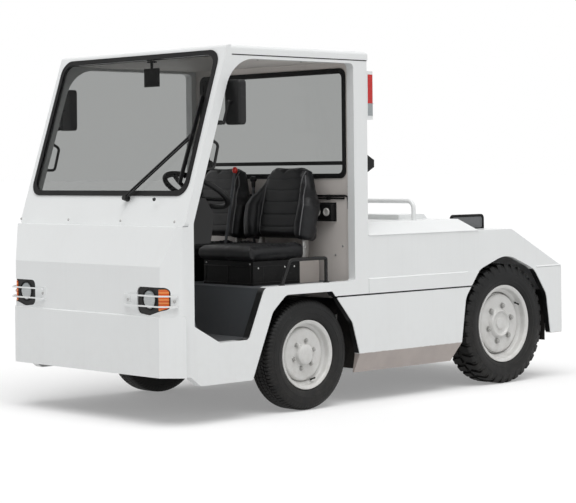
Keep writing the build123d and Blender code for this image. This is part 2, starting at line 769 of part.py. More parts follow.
guard_foot = GUARD_END - GUARD_BAR * bevel_along[0]
GUARD_LINE = [
    (GUARD_START, BUMPER_PROUD, 0),
    (GUARD_START, BUMPER_PROUD - GUARD_REACH, 10),
    (*bevel_turn(GUARD_REACH), 14),
    (*off_bevel(GUARD_END, GUARD_REACH), 10),
    (*off_bevel(GUARD_END, 0), 0),
    (*off_bevel(guard_foot, 0), 0),
    (*off_bevel(guard_foot, GUARD_REACH - GUARD_BAR), 2),
    (*bevel_turn(GUARD_REACH - GUARD_BAR), 6),
    (GUARD_START + GUARD_BAR, BUMPER_PROUD - GUARD_REACH + GUARD_BAR, 2),
    (GUARD_START + GUARD_BAR, BUMPER_PROUD, 0),
]

with BuildPart(plan_view()) as lamp_guards:
    for height in GUARD_HEIGHTS:
        with BuildSketch(plan_view(height - GUARD_BAR / 2)):
            with BuildLine():
                FilletPolyline(*corners(GUARD_LINE), radius=radii(GUARD_LINE), close=True)
            make_face()
        extrude(amount=GUARD_BAR)
    plate_low = GUARD_HEIGHTS[0] - 12
    plate_high = GUARD_HEIGHTS[1] + 12
    block((GUARD_START - 14, GUARD_START + 34), (BUMPER_PROUD - 3, BUMPER_PROUD), (plate_low, plate_high))
    with BuildSketch(plan_view(plate_low)):
        with BuildLine():
            Polyline(
                off_bevel(696, 0),
                off_bevel(GUARD_END, 0),
                off_bevel(GUARD_END, 3),
                off_bevel(696, 3),
                close=True,
            )
        make_face()
    extrude(amount=plate_high - plate_low)
    mirror(about=Plane.YZ)
keep(lamp_guards, "lamp_guards")

with BuildPart() as rubber_stops:
    for station, width, height in ((CAB_REAR, 66, 100), (CAB_REAR + 65, 48, 41)):
        with BuildSketch(front_view(station)):
            with Locations((HALF_WIDTH - 33, 1381)):
                Rectangle(width, height)
    loft(ruled=True)
    mirror(about=Plane.YZ)
keep(rubber_stops, "rubber_stops")

# ---------------------------------------------------------------- rear body
SKIRT_TOP = SEAM - SEAM_GAP / 2
BODY_FRONT = CAB_REAR + 5
ARCH_REAR = REAR_AXLE + 428   # where the rear arch meets the bottom of the tail
# Outline seen from the left: (station, height, corner radius)
REAR_SIDE = [
    (BODY_FRONT, DECK, 0),
    (BODY_FRONT, SKIRT_TOP, 0),
    (FRONT_AXLE + 204, SKIRT_TOP, 6),
    (FRONT_AXLE + 331, 475, 60),
    (FRONT_AXLE + 388, 290, 60),
    (FRONT_AXLE + 367, SKIRT_BOTTOM, 4),
    (REAR_AXLE - 511, SKIRT_BOTTOM, 4),
    (REAR_AXLE - 436, SKIRT_FOLD, 30),
    (REAR_AXLE - 394, 560, 110),
    (REAR_AXLE - 264, 722, 150),
    (REAR_AXLE + 1, 812, 260),
    (REAR_AXLE + 266, 708, 150),
    (REAR_AXLE + 390, 540, 110),
    (ARCH_REAR, TAIL_BOTTOM, 4),
    (TAIL, TAIL_BOTTOM, 8),
    (TAIL, TAIL_TOP, 8),
    (DECK_END, DECK, 10),
]

with BuildPart(plan_view()) as rear_side_left:
    with BuildSketch(side_view(REAR_INNER)):
        with BuildLine():
            FilletPolyline(*corners(REAR_SIDE), radius=radii(REAR_SIDE), close=True)
        make_face()
    extrude(amount=REAR_SIDE_WALL)
    upper = (HALF_WIDTH - STEP_DEPTH, HALF_WIDTH + 1)
    block(upper, (BODY_FRONT - 1, TAIL + 1), (STEP_LINE, DECK + 1), Mode.SUBTRACT)
    seam_cut = (HALF_WIDTH - 10, HALF_WIDTH + 1)
    block(seam_cut, (BODY_FRONT - 1, REAR_AXLE - 314), (SKIRT_TOP, SKIRT_TOP + SEAM_GAP), Mode.SUBTRACT)
    with BuildSketch(front_view(FRONT_AXLE + 272)):
        with BuildLine():
            Polyline(
                (HALF_WIDTH, SKIRT_FOLD),
                (HALF_WIDTH - SKIRT_TUCK, SKIRT_BOTTOM),
                (HALF_WIDTH - SKIRT_TUCK, SKIRT_BOTTOM - 10),
                (HALF_WIDTH + 10, SKIRT_BOTTOM - 10),
                (HALF_WIDTH + 10, SKIRT_FOLD),
                close=True,
            )
        make_face()
    extrude(amount=FRONT_AXLE + 272 - (REAR_AXLE - 424), mode=Mode.SUBTRACT)
keep(rear_side_left, "rear_side_left")

with BuildPart() as rear_side_right:
    mirror(rear_side_left.part, about=Plane.YZ)
keep(rear_side_right, "rear_side_right")

with BuildPart() as tail_panel:
    fall = atan2(DECK - TAIL_TOP, TAIL - DECK_END)
    with BuildSketch(side_view(-REAR_INNER)):
        with BuildLine():
            Polyline(
                (DECK_END, DECK),
                (TAIL, TAIL_TOP),
                (TAIL, TAIL_BOTTOM),
                (TAIL - DECK_PLATE, TAIL_BOTTOM),
                (TAIL - DECK_PLATE, TAIL_TOP - DECK_PLATE * tan((pi / 2 - fall) / 2)),
                (DECK_END, DECK - DECK_PLATE / cos(fall)),
                close=True,
            )
        make_face()
    extrude(amount=2 * REAR_INNER)
keep(tail_panel, "tail_panel")

with BuildPart(plan_view()) as rear_deck:
    block((-REAR_INNER, REAR_INNER), (HOOD_REAR + 6, DECK_END), (DECK - DECK_PLATE, DECK))
keep(rear_deck, "rear_deck")

GUARD_X = 494              # inner face of the deck guard
GUARD_THICKNESS = 16
GUARD_RECESS = 6
GUARD_EDGE = 11
GUARD_LENGTH = 312
GUARD_HEIGHT = 92

with BuildPart() as deck_guard:
    guard_station = (HOOD_REAR + DECK_END) / 2 + 4
    with BuildSketch(side_view(GUARD_X)):
        with Locations((guard_station, DECK + GUARD_HEIGHT / 2)):
            RectangleRounded(GUARD_LENGTH, GUARD_HEIGHT, 28)
        with Locations((guard_station, DECK + 20)):
            Rectangle(GUARD_LENGTH, 40)
    extrude(amount=GUARD_THICKNESS)
    with BuildSketch(side_view(GUARD_X + GUARD_THICKNESS - GUARD_RECESS)):
        with Locations((guard_station, DECK + GUARD_HEIGHT / 2 - GUARD_EDGE)):
            RectangleRounded(GUARD_LENGTH - 2 * GUARD_EDGE, GUARD_HEIGHT, 20)
    extrude(amount=GUARD_RECESS + 1, mode=Mode.SUBTRACT)
keep(deck_guard, "deck_guard")

# ---------------------------------------------------------------- hood
HOOD_SEAT = 0.5            # gap under the closed hood
HINGE_X = 450
HINGE_WIDTH = 76
HINGE_BARREL = 8
HINGE_PIN = 5
BOX_HALF = 420
BOX_RISE = 30
BOX_LINE = [
    (HOOD_REAR - 377, HOOD_TOP),
    (HOOD_REAR - 377, HOOD_TOP + BOX_RISE),
    (HOOD_REAR - 147, HOOD_TOP + BOX_RISE),
    (HOOD_REAR - 114, HOOD_TOP),
]
RAIL_STATION = HOOD_REAR - 437
RAIL_HALF = 600
RAIL_TOP = 1153
RAIL_RADIUS = 14


def hood_block(inset):
    """Hood form shrunk by its sheet thickness: bevelled sides and a sloped rear end."""
    foot = DECK + HOOD_SEAT
    low = (HOOD_FRONT + inset, HOOD_REAR - inset * 1.6)
    high = (HOOD_FRONT + inset, HOOD_CREST - inset * 0.6)
    with BuildPart() as form:
        with BuildSketch(plan_view(foot)):
            with Locations((0, sum(low) / 2)):
                Rectangle(2 * (HALF_WIDTH - inset * 1.6), low[1] - low[0])
        with BuildSketch(plan_view(HOOD_TOP - inset)):
            with Locations((0, sum(high) / 2)):
                Rectangle(2 * (HOOD_TOP_HALF - inset * 0.4), high[1] - high[0])
        loft(ruled=True)
    return form.part


with BuildPart(plan_view()) as engine_hood:
    place(hood_block(0))
    place(hood_block(HOOD_SHEET), Mode.SUBTRACT)
    with BuildSketch(side_view(-BOX_HALF)):
        with BuildLine():
            Polyline(*BOX_LINE, close=True)
        make_face()
    extrude(amount=2 * BOX_HALF)
    for x in (-HINGE_X, HINGE_X):
        span = (x - HINGE_WIDTH / 2, x + HINGE_WIDTH / 2)
        block(span, (HOOD_FRONT, HOOD_HINGE[0] + 40), (HOOD_TOP, HOOD_HINGE[1] - 5))
        rod((span[0], *HOOD_HINGE), (span[1], *HOOD_HINGE), HINGE_BARREL)
        rod((span[0], *HOOD_HINGE), (span[1], *HOOD_HINGE), HINGE_PIN + FIT, Mode.SUBTRACT)
    with Locations(Location((0, (HOOD_FRONT + RAIL_STATION) / 2 + 30, HOOD_TOP + 26), (0, 90, 0))):
        Torus(26, 6)
keep(engine_hood, "engine_hood")

with BuildPart() as hood_rail:
    with BuildLine(front_view(RAIL_STATION)) as rail_line:
        FilletPolyline(
            (-RAIL_HALF, HOOD_TOP),
            (-RAIL_HALF, RAIL_TOP),
            (RAIL_HALF, RAIL_TOP),
            (RAIL_HALF, HOOD_TOP),
            radius=45,
        )
    with BuildSketch(Plane(origin=rail_line.line @ 0, z_dir=rail_line.line % 0)):
        Circle(RAIL_RADIUS)
    sweep()
keep(hood_rail, "hood_rail")

with BuildPart(plan_view()) as hood_hinges:
    wall_back = WALL_FRONT + REAR_WALL
    for x in (-HINGE_X, HINGE_X):
        for side in (-1, 1):
            inner = x + side * (HINGE_WIDTH / 2 + 2)
            outer = inner + side * 10
            block((inner, outer), (wall_back, HOOD_HINGE[0]), (HOOD_HINGE[1] - 7, HOOD_HINGE[1] + 7))
            rod((inner, *HOOD_HINGE), (outer, *HOOD_HINGE), 7)
        rod(
            (x - HINGE_WIDTH / 2 - 6, *HOOD_HINGE),
            (x + HINGE_WIDTH / 2 + 6, *HOOD_HINGE),
            HINGE_PIN,
        )
        block((x - 60, x + 60), (wall_back, wall_back + 6), (HOOD_HINGE[1] - 30, HOOD_HINGE[1] + 30))
keep(hood_hinges, "hood_hinges")

# ---------------------------------------------------------------- tail plate and coupling
REAR_PLATE = 14
BACK_PLATE = 14
JAW_HEIGHTS = (318, 398, 478, 558)
JAW_THICKNESS = 18
JAW_HALF = 55
PIN_BORE = 14
COUPLING_CENTRE = REAR_TIP - JAW_HALF
HOLDER_X = 165
DRAWBAR_PIN = 13

with BuildPart(plan_view()) as rear_plate:
    block((-700, 700), (TAIL, TAIL + REAR_PLATE), (308, 642))
keep(rear_plate, "rear_plate")

with BuildPart(plan_view()) as tow_coupling:
    plate_front = TAIL + REAR_PLATE
    jaw_foot = plate_front + BACK_PLATE
    block((-105, 105), (plate_front, jaw_foot), (296, 598))
    for height in JAW_HEIGHTS:
        block((-JAW_HALF, JAW_HALF), (jaw_foot, COUPLING_CENTRE), (height, height + JAW_THICKNESS))
        rod(
            (0, COUPLING_CENTRE, height),
            (0, COUPLING_CENTRE, height + JAW_THICKNESS),
            JAW_HALF,
        )
    rod((0, COUPLING_CENTRE, 200), (0, COUPLING_CENTRE, 700), PIN_BORE, Mode.SUBTRACT)
    block((105, HOLDER_X + 25), (plate_front, plate_front + 50), (500, 530))
    pin_station = plate_front + 27
    rod((HOLDER_X, pin_station, 480), (HOLDER_X, pin_station, 560), DRAWBAR_PIN + FIT, Mode.SUBTRACT)
keep(tow_coupling, "tow_coupling")

with BuildPart(plan_view()) as coupling_pin:
    rod((HOLDER_X, pin_station, 320), (HOLDER_X, pin_station, 530), DRAWBAR_PIN)
    rod((HOLDER_X, pin_station, 530), (HOLDER_X, pin_station, 542), 22)
    rod((HOLDER_X, pin_station, 540), (HOLDER_X, pin_station, 566), 7)
    with Locations(Location((HOLDER_X, pin_station, 588), (90, 0, 0))):
        Torus(26, 5)
keep(coupling_pin, "coupling_pin")

# ---------------------------------------------------------------- chassis
RAIL_SPAN = (255, 325)     # X of a chassis rail's faces
SPRING_SPAN = (262, 318)   # X of a leaf spring's faces
FRAME_TOP = 600
FRAME_BOTTOM = 480
FRAME_NOSE_TOP = FOOTWELL - FLOOR_SHEET
FRAME_NOSE_BOTTOM = 290
NOSE_MEMBER_END = 90       # the nose member's rear face, which the rails butt against
TAIL_MEMBER_END = TAIL - 57
ENGINE_END = HOOD_REAR - 372
CHASSIS_RAIL = [
    (NOSE_MEMBER_END, FRAME_NOSE_TOP),
    (667, FRAME_NOSE_TOP),
    (735, FRAME_TOP),
    (TAIL_MEMBER_END, FRAME_TOP),
    (TAIL_MEMBER_END, FRAME_BOTTOM),
    (742, FRAME_BOTTOM),
    (640, FRAME_NOSE_BOTTOM),
    (NOSE_MEMBER_END, FRAME_NOSE_BOTTOM),
]
# Cross members: (half width, first station, last station, bottom, top)
CROSS_MEMBERS = [
    (600, BUMPER_PROUD + NOSE_WALL, NOSE_MEMBER_END, 300, 360),
    (CAB_INNER, 300, 360, 330, 390),
    (REAR_INNER, 1440, 1500, WALL_BOTTOM - 60, WALL_BOTTOM),
    (RAIL_SPAN[0], ENGINE_END - 40, ENGINE_END + 20, WALL_BOTTOM - 60, WALL_BOTTOM),
    (REAR_INNER, REAR_AXLE - 509, REAR_AXLE - 454, 500, 560),
    (REAR_INNER, ARCH_REAR, TAIL_MEMBER_END, 500, 560),
]

with BuildPart(plan_view()) as chassis_frame:
    for x in (RAIL_SPAN[0], -RAIL_SPAN[1]):
        with BuildSketch(side_view(x)):
            with BuildLine():
                Polyline(*CHASSIS_RAIL, close=True)
            make_face()
        extrude(amount=RAIL_SPAN[1] - RAIL_SPAN[0])
keep(chassis_frame, "chassis_frame")

with BuildPart(plan_view()) as cross_members:
    for half, first, last, bottom, top in CROSS_MEMBERS:
        block((-half, half), (first, last), (bottom, top))
    place(chassis_frame.part, Mode.SUBTRACT)
keep(cross_members, "cross_members")

with BuildPart(plan_view()) as engine_block:
    block((-220, 220), (1480, ENGINE_END), (WALL_BOTTOM, DECK - 35))
keep(engine_block, "engine_block")

with BuildPart(plan_view()) as mud_flaps:
    for x in (-1, 1):
        block((x * 540, x * 690), (1432, 1440), (200, 560))
        block((x * 500, x * 690), (ARCH_REAR - 8, ARCH_REAR), (240, 560))
keep(mud_flaps, "mud_flaps")

# ---------------------------------------------------------------- wheels and tyres
# Sizes of each axle's wheels, by name
FRONT_RIM = {
    "tyre": 311.5,
    "tyre_width": 180,
    "lug": 0,
    "width": 150,
    "flange": 195,
    "seat": 178,
    "drop": 158,
    "spindle": 25,
    # Disc outline: (distance inboard of the rim face, radius, corner radius)
    "disc": [
        (46, 152, 0),
        (15, 137, 12),
        (6, 119, 12),
        (14, 104, 6),
        (18, 60, 3),
        (-4, 57, 2),
        (-6, 50, 2),
        (-24, 44, 12),
        (-28, 0, 0),
        (12, 0, 0),
    ],
    "disc_back": [(30, 47), (26, 60), (22, 100), (15, 119), (24, 134), (56, 152)],
}
REAR_RIM = {
    "tyre": 374,
    "tyre_width": 200,
    "lug": 12,
    "width": 165,
    "flange": 241,
    "seat": 222,
    "drop": 200,
    "spindle": 30,
    "disc": [
        (60, 194, 0),
        (24, 176, 16),
        (8, 152, 16),
        (16, 136, 8),
        (22, 90, 3),
        (2, 84, 2),
        (0, 76, 2),
        (12, 62, 4),
        (12, 0, 0),
        (24, 0, 0),
    ],
    "disc_back": [(34, 52), (30, 90), (24, 132), (17, 152), (32, 172), (70, 194)],
}
HUB_DEPTH = 90             # the hub barrel's inner end, inboard of the rim face
HUB_WALL = 22
BEAD_GAP = 0.3
LUG_COUNT = 34             # lugs round one side of a rear tyre
LUG_WIDTH = 40
LUG_GROOVE = 7             # half width of the groove between the two rings of lugs
LUG_OVERHANG = 6           # how far a lug's end stands past the rim's width

# Wheels: (name, side, axle station, sizes)
WHEELS = [
    ("front_left", 1, FRONT_AXLE, FRONT_RIM),
    ("front_right", -1, FRONT_AXLE, FRONT_RIM),
    ("rear_left", 1, REAR_AXLE, REAR_RIM),
    ("rear_right", -1, REAR_AXLE, REAR_RIM),
]


def wheel_plane(side, station, height):
    """Plane through a wheel's axis: distance inboard of the rim face across, radius up."""
    return Plane(
        origin=(side * RIM_FACE, station - ORIGIN_STATION, height),
        x_dir=(-side, 0, 0),
        z_dir=(0, side, 0),
    )


def rim_rows(rim):
    """Closed outline of the rim barrel."""
    width, flange, seat, drop = (rim[key] for key in ("width", "flange", "seat", "drop"))
    lip = 8
    outer = [(0, flange), (lip, flange), (lip, seat), (0.3 * width, seat), (0.37 * width, drop)]
    outer += [(0.63 * width, drop), (0.7 * width, seat), (width - lip, seat)]
    outer += [(width - lip, flange), (width, flange)]
    inner = [(width, seat - 6), (0.7 * width + 4, seat - 6), (0.63 * width + 3, drop - 6)]
    inner += [(0.37 * width - 3, drop - 6), (0.3 * width - 4, seat - 6), (0, seat - 6)]
    return outer + inner


def tyre_rows(rim):
    """Closed outline of the tyre carcass as (distance inboard, radius, corner radius)."""
    width, flange, top = rim["width"], rim["flange"], rim["tyre"] - rim["lug"]
    bead = rim["seat"] + BEAD_GAP
    over = (rim["tyre_width"] - width) / 2
    half = [
        (8 + BEAD_GAP, bead, 0),
        (8 + BEAD_GAP, flange + 1, 0),
        (-3, flange + 7, 4),
        (-over, flange + 0.42 * (top - flange), 40),
        (-over + 9, top - 22, 14),
        (12, top, 8),
    ]
    return half + [(width - across, radius, turn) for across, radius, turn in half[::-1]]


def lug_rings(side, station, rim):
    """Two rings of traction lugs round a carcass, set half a pitch from each other."""
    root = rim["tyre"] - rim["lug"]
    middle = rim["width"] / 2
    with BuildPart() as rings:
        for near, far, turn in (
            (-LUG_OVERHANG, middle - LUG_GROOVE, 0),
            (middle + LUG_GROOVE, rim["width"] + LUG_OVERHANG, 180 / LUG_COUNT),
        ):
            start = side * (RIM_FACE - far)
            origin = (start, station - ORIGIN_STATION, rim["tyre"])
            with BuildSketch(Plane(origin=origin, x_dir=(0, 1, 0), z_dir=(side, 0, 0))):
                Circle(root - 2)
                with PolarLocations(root - 8 + (rim["lug"] + 8) / 2, LUG_COUNT, start_angle=turn):
                    Rectangle(rim["lug"] + 8, LUG_WIDTH)
                Circle(root - 8, mode=Mode.SUBTRACT)
            extrude(amount=far - near)
    return rings.part


for name, side, station, rim in WHEELS:
    plane = wheel_plane(side, station, rim["tyre"])
    spin = Axis(plane.origin, (1, 0, 0))
    bore = rim["spindle"] + FIT
    with BuildPart() as wheel:
        with BuildSketch(plane):
            with BuildLine():
                Polyline(*rim_rows(rim), close=True)
            make_face()
        revolve(axis=spin)
        with BuildSketch(plane):
            disc = rim["disc"]
            hub = [(12 if rim is FRONT_RIM else 24, bore), (HUB_DEPTH, bore)]
            hub += [(HUB_DEPTH, bore + HUB_WALL)]
            rows = disc + [(across, up, 0) for across, up in hub + rim["disc_back"]]
            with BuildLine():
                FilletPolyline(*corners(rows), radius=radii(rows), close=True)
            make_face()
        revolve(axis=spin)
    keep(wheel, f"wheel_{name}")
    with BuildPart() as tyre:
        with BuildSketch(plane):
            rows = tyre_rows(rim)
            with BuildLine():
                FilletPolyline(*corners(rows), radius=radii(rows), close=True)
            make_face()
        revolve(axis=spin)
        if rim["lug"]:
            add(lug_rings(side, station, rim))
    keep(tyre, f"tyre_{name}")

# ---------------------------------------------------------------- front axle and steering
KINGPIN_X = 560
KINGPIN_RADIUS = 12
BOSS_RADIUS = 28
BOSS_HALF = 30             # half height of the axle's kingpin boss
BEAM_HALF = 27             # half height of the axle beam
BEAM_FLANGE = 10
FORK_GAP = 3.5
FORK_ARM = 16
FORK_WEB = (592, 606)
ARM_REACH = 130            # the tie rod joint's distance behind the kingpin
TIE_PIN = 7
TIE_ROD = 8
TIE_EYE_HALF = 9
TIE_HEIGHT = 248
AXLE_HEIGHT = FRONT_RIM["tyre"]
FRONT_PAD = 395
SPRING_CLAMP = 45

with BuildPart(plan_view()) as front_axle:
    web = (AXLE_HEIGHT - BEAM_HALF + BEAM_FLANGE, AXLE_HEIGHT + BEAM_HALF - BEAM_FLANGE)
    block(
        (-525, 525),
        (FRONT_AXLE - 30, FRONT_AXLE + 30),
        (AXLE_HEIGHT - BEAM_HALF, AXLE_HEIGHT + BEAM_HALF),
    )
    for station in (FRONT_AXLE - 30, FRONT_AXLE + 30):
        inward = station + (23 if station < FRONT_AXLE else -23)
        block((-510, 510), (station, inward), web, Mode.SUBTRACT)
    for x in (-1, 1):
        block(
            (x * 500, x * 545),
            (FRONT_AXLE - 24, FRONT_AXLE + 24),
            (AXLE_HEIGHT - BEAM_HALF + 2, AXLE_HEIGHT + BEAM_HALF - 2),
        )
        rod(
            (x * KINGPIN_X, FRONT_AXLE, AXLE_HEIGHT - BOSS_HALF),
            (x * KINGPIN_X, FRONT_AXLE, AXLE_HEIGHT + BOSS_HALF),
            BOSS_RADIUS,
        )
        rod(
            (x * KINGPIN_X, FRONT_AXLE, AXLE_HEIGHT - BOSS_HALF - 1),
            (x * KINGPIN_X, FRONT_AXLE, AXLE_HEIGHT + BOSS_HALF + 1),
            KINGPIN_RADIUS + FIT,
            Mode.SUBTRACT,
        )
        block(
            (x * SPRING_SPAN[0], x * SPRING_SPAN[1]),
            (FRONT_AXLE - SPRING_CLAMP, FRONT_AXLE + SPRING_CLAMP),
            (AXLE_HEIGHT + BEAM_HALF - 4, FRONT_PAD),
        )
keep(front_axle, "front_axle")

for name, side in (("left", 1), ("right", -1)):
    with BuildPart(plan_view()) as knuckle:
        pin = side * KINGPIN_X
        low = AXLE_HEIGHT - BOSS_HALF - FORK_GAP
        high = AXLE_HEIGHT + BOSS_HALF + FORK_GAP
        rod((pin, FRONT_AXLE, low - 8), (pin, FRONT_AXLE, high + 8), KINGPIN_RADIUS)
        for bottom in (low - FORK_ARM, high):
            rod((pin, FRONT_AXLE, bottom), (pin, FRONT_AXLE, bottom + FORK_ARM), BOSS_RADIUS)
            block(
                (pin, side * FORK_WEB[1]),
                (FRONT_AXLE - BOSS_RADIUS, FRONT_AXLE + BOSS_RADIUS),
                (bottom, bottom + FORK_ARM),
            )
        web = (side * FORK_WEB[0], side * FORK_WEB[1])
        block(web, (FRONT_AXLE - 45, FRONT_AXLE + 45), (low - FORK_ARM, high + FORK_ARM))
        rod((web[1] - side * 6, FRONT_AXLE, AXLE_HEIGHT), (web[1], FRONT_AXLE, AXLE_HEIGHT), 110)
        rod(
            (web[1], FRONT_AXLE, AXLE_HEIGHT),
            (side * (RIM_FACE - 18), FRONT_AXLE, AXLE_HEIGHT),
            FRONT_RIM["spindle"],
        )
        eye_station = FRONT_AXLE + ARM_REACH
        with BuildSketch(plan_view(low - FORK_ARM)):
            with Locations((pin, (FRONT_AXLE + eye_station) / 2)):
                SlotCenterToCenter(ARM_REACH, 36, rotation=90)
        extrude(amount=FORK_ARM)
        rod((pin, eye_station, TIE_HEIGHT - 14), (pin, eye_station, low - 8), TIE_PIN)
    keep(knuckle, f"knuckle_{name}")

with BuildPart(plan_view()) as tie_rod:
    eye_station = FRONT_AXLE + ARM_REACH
    eye_low = TIE_HEIGHT - TIE_EYE_HALF
    eye_high = TIE_HEIGHT + TIE_EYE_HALF
    for x in (KINGPIN_X, -KINGPIN_X):
        rod((x, eye_station, eye_low), (x, eye_station, eye_high), 17)
    rod((-KINGPIN_X, eye_station, TIE_HEIGHT), (KINGPIN_X, eye_station, TIE_HEIGHT), TIE_ROD)
    for x, bore in ((KINGPIN_X, TIE_PIN + FIT), (-KINGPIN_X, TIE_PIN + 1)):
        rod((x, eye_station, eye_low), (x, eye_station, eye_high), bore, Mode.SUBTRACT)
keep(tie_rod, "tie_rod")

# ---------------------------------------------------------------- rear axle and springs
REAR_HEIGHT = REAR_RIM["tyre"]
REAR_PAD = 432
# Axle casing outline from its middle outward: (X, radius)
AXLE_CASING = [
    (55, 118),
    (130, 70),
    (190, 48),
    (500, 48),
    (500, 130),
    (512, 130),
    (512, 40),
    (560, 40),
    (560, REAR_RIM["spindle"]),
    (RIM_FACE - 28, REAR_RIM["spindle"]),
]

with BuildPart(plan_view()) as rear_axle:
    axle_line = Plane(
        origin=(0, REAR_AXLE - ORIGIN_STATION, REAR_HEIGHT), x_dir=(1, 0, 0), z_dir=(0, -1, 0)
    )
    with BuildSketch(axle_line):
        with BuildLine():
            left = [(-x, radius) for x, radius in AXLE_CASING[::-1]]
            tip = AXLE_CASING[-1][0]
            Polyline((-tip, 0), *left, *AXLE_CASING, (tip, 0), close=True)
        make_face()
    revolve(axis=Axis(axle_line.origin, (1, 0, 0)))
    for x in (-1, 1):
        block(
            (x * SPRING_SPAN[0], x * SPRING_SPAN[1]),
            (REAR_AXLE - SPRING_CLAMP, REAR_AXLE + SPRING_CLAMP),
            (400, REAR_PAD),
        )
keep(rear_axle, "rear_axle")

# Leaf springs: (axle station, pad height, half length, eye height)
SPRINGS = [
    (FRONT_AXLE, FRONT_PAD, 262, 452),
    (REAR_AXLE, REAR_PAD, 300, 456),
]
LEAF_DEPTH = 14
EYE_RADIUS = 14

with BuildPart(plan_view()) as leaf_springs:
    for station, pad, half, eye in SPRINGS:
        for x in (SPRING_SPAN[0], -SPRING_SPAN[1]):
            with BuildSketch(side_view(x)):
                low = [(station - half, eye - 7), (station, pad + 8), (station + half, eye - 7)]
                high = [(across, up + LEAF_DEPTH) for across, up in low]
                with BuildLine():
                    ThreePointArc(*low)
                    Line(low[2], high[2])
                    ThreePointArc(*high)
                    Line(high[0], low[0])
                make_face()
                with Locations((station - half, eye), (station + half, eye)):
                    Circle(EYE_RADIUS)
                middle = (eye + FRAME_BOTTOM) / 2
                with Locations((station - half, middle), (station + half, middle)):
                    Rectangle(18, FRAME_BOTTOM - eye)
                with Locations((station, pad + 13)):
                    Rectangle(2 * SPRING_CLAMP, 26)
            extrude(amount=SPRING_SPAN[1] - SPRING_SPAN[0])
keep(leaf_springs, "leaf_springs")
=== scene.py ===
"""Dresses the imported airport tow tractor: paint, seats, tyres, lamps, trim and a plain studio."""

import json
from math import copysign, cos, pi, radians, sin, tau

import bmesh
import bpy
from bpy.props import (
    FloatProperty,
    FloatVectorProperty,
    IntProperty,
    PointerProperty,
)
from bpy.types import Operator, Panel, PropertyGroup
from mathutils import Matrix, Vector, noise
from mathutils.bvhtree import BVHTree


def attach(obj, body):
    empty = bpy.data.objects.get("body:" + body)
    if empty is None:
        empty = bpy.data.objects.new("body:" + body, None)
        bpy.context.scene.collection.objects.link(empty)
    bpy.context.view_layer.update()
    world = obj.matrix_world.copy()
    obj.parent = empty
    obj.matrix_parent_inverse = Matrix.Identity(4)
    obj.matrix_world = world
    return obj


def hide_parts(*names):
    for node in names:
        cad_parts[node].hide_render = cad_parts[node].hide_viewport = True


bl_info = {
    "name": "Tow Tractor Finish",
    "version": (1, 0, 0),
    "blender": (4, 5, 0),
    "location": "3D View > Sidebar > Tow Tractor",
    "description": "Paint, seats, tyres, lamps and trim for the packed airport tow tractor",
    "category": "Object",
}

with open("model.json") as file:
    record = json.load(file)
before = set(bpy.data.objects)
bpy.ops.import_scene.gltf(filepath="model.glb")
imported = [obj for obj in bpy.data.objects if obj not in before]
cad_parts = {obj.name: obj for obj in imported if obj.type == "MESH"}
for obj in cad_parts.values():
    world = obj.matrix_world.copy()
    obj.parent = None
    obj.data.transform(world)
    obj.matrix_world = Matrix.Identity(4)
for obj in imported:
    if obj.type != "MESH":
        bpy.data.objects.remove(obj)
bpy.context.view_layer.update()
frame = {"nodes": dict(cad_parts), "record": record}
NODES = frame["nodes"]

# ------------------------------------------------------------------ places
ORIGIN_STATION = 1.708      # distance from the bumper's face back to the row's origin


def at(x, station, height):
    """Point from X, the distance behind the bumper's face, and the height."""
    return Vector((x, station - ORIGIN_STATION, height))


# ------------------------------------------------------------------ mesh helpers
def add_object(name, mesh, material, body, sharp=35):
    """Wrap a mesh as a piece that rides on a body and takes a material slot's finish."""
    piece = bpy.data.objects.new(name, mesh)
    bpy.context.scene.collection.objects.link(piece)
    mesh.materials.clear()
    mesh.materials.append(material)
    for face in mesh.polygons:
        face.use_smooth = True
    mesh.set_sharp_from_angle(angle=radians(sharp))
    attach(piece, body)
    return piece


def mesh_of(name, verts, faces, merge=1e-5):
    """Mesh from points and faces, doubles merged and normals turned outwards."""
    mesh = bpy.data.meshes.new(name)
    mesh.from_pydata([tuple(v) for v in verts], [], faces)
    form = bmesh.new()
    form.from_mesh(mesh)
    bmesh.ops.remove_doubles(form, verts=form.verts, dist=merge)
    bmesh.ops.dissolve_degenerate(form, edges=form.edges, dist=merge / 2)
    bmesh.ops.recalc_face_normals(form, faces=form.faces)
    form.to_mesh(mesh)
    form.free()
    return mesh


def join(*parts):
    """One (verts, faces) pair from several."""
    verts, faces = [], []
    for points, loops in parts:
        base = len(verts)
        verts += list(points)
        faces += [tuple(base + i for i in loop) for loop in loops]
    return verts, faces


def moved(part, matrix):
    """A (verts, faces) pair carried by a matrix."""
    return [matrix @ Vector(v) for v in part[0]], part[1]


def mirrored(part):
    """A (verts, faces) pair seen in the vehicle's middle plane."""
    return [Vector((-v[0], v[1], v[2])) for v in part[0]], [tuple(reversed(f)) for f in part[1]]


def both_sides(part):
    return join(part, mirrored(part))


def ring_stack(rings, cap=True, closed=False):
    """Skin a list of point rings of equal length; ends are capped or joined in a loop."""
    count = len(rings[0])
    verts = [v for ring in rings for v in ring]
    faces = []
    last = len(rings) if closed else len(rings) - 1
    for i in range(last):
        a, b = i * count, ((i + 1) % len(rings)) * count
        for j in range(count):
            k = (j + 1) % count
            faces.append((a + j, a + k, b + k, b + j))
    if cap and not closed:
        faces.append(tuple(reversed(range(count))))
        faces.append(tuple(range(len(verts) - count, len(verts))))
    return verts, faces


def across(axis):
    """Two directions square to an axis."""
    axis = Vector(axis).normalized()
    first = axis.orthogonal().normalized()
    return first, axis.cross(first)


def turned_form(rows, origin, axis, sides=48):
    """Form turned about an axis from (distance along, radius) rows, closed at both ends."""
    origin, axis = Vector(origin), Vector(axis).normalized()
    first, second = across(axis)
    rings = []
    for along, radius in rows:
        centre = origin + axis * along
        spokes = [tau * i / sides for i in range(sides)]
        rings.append([centre + (first * cos(a) + second * sin(a)) * max(radius, 1e-5) for a in spokes])
    return ring_stack(rings)


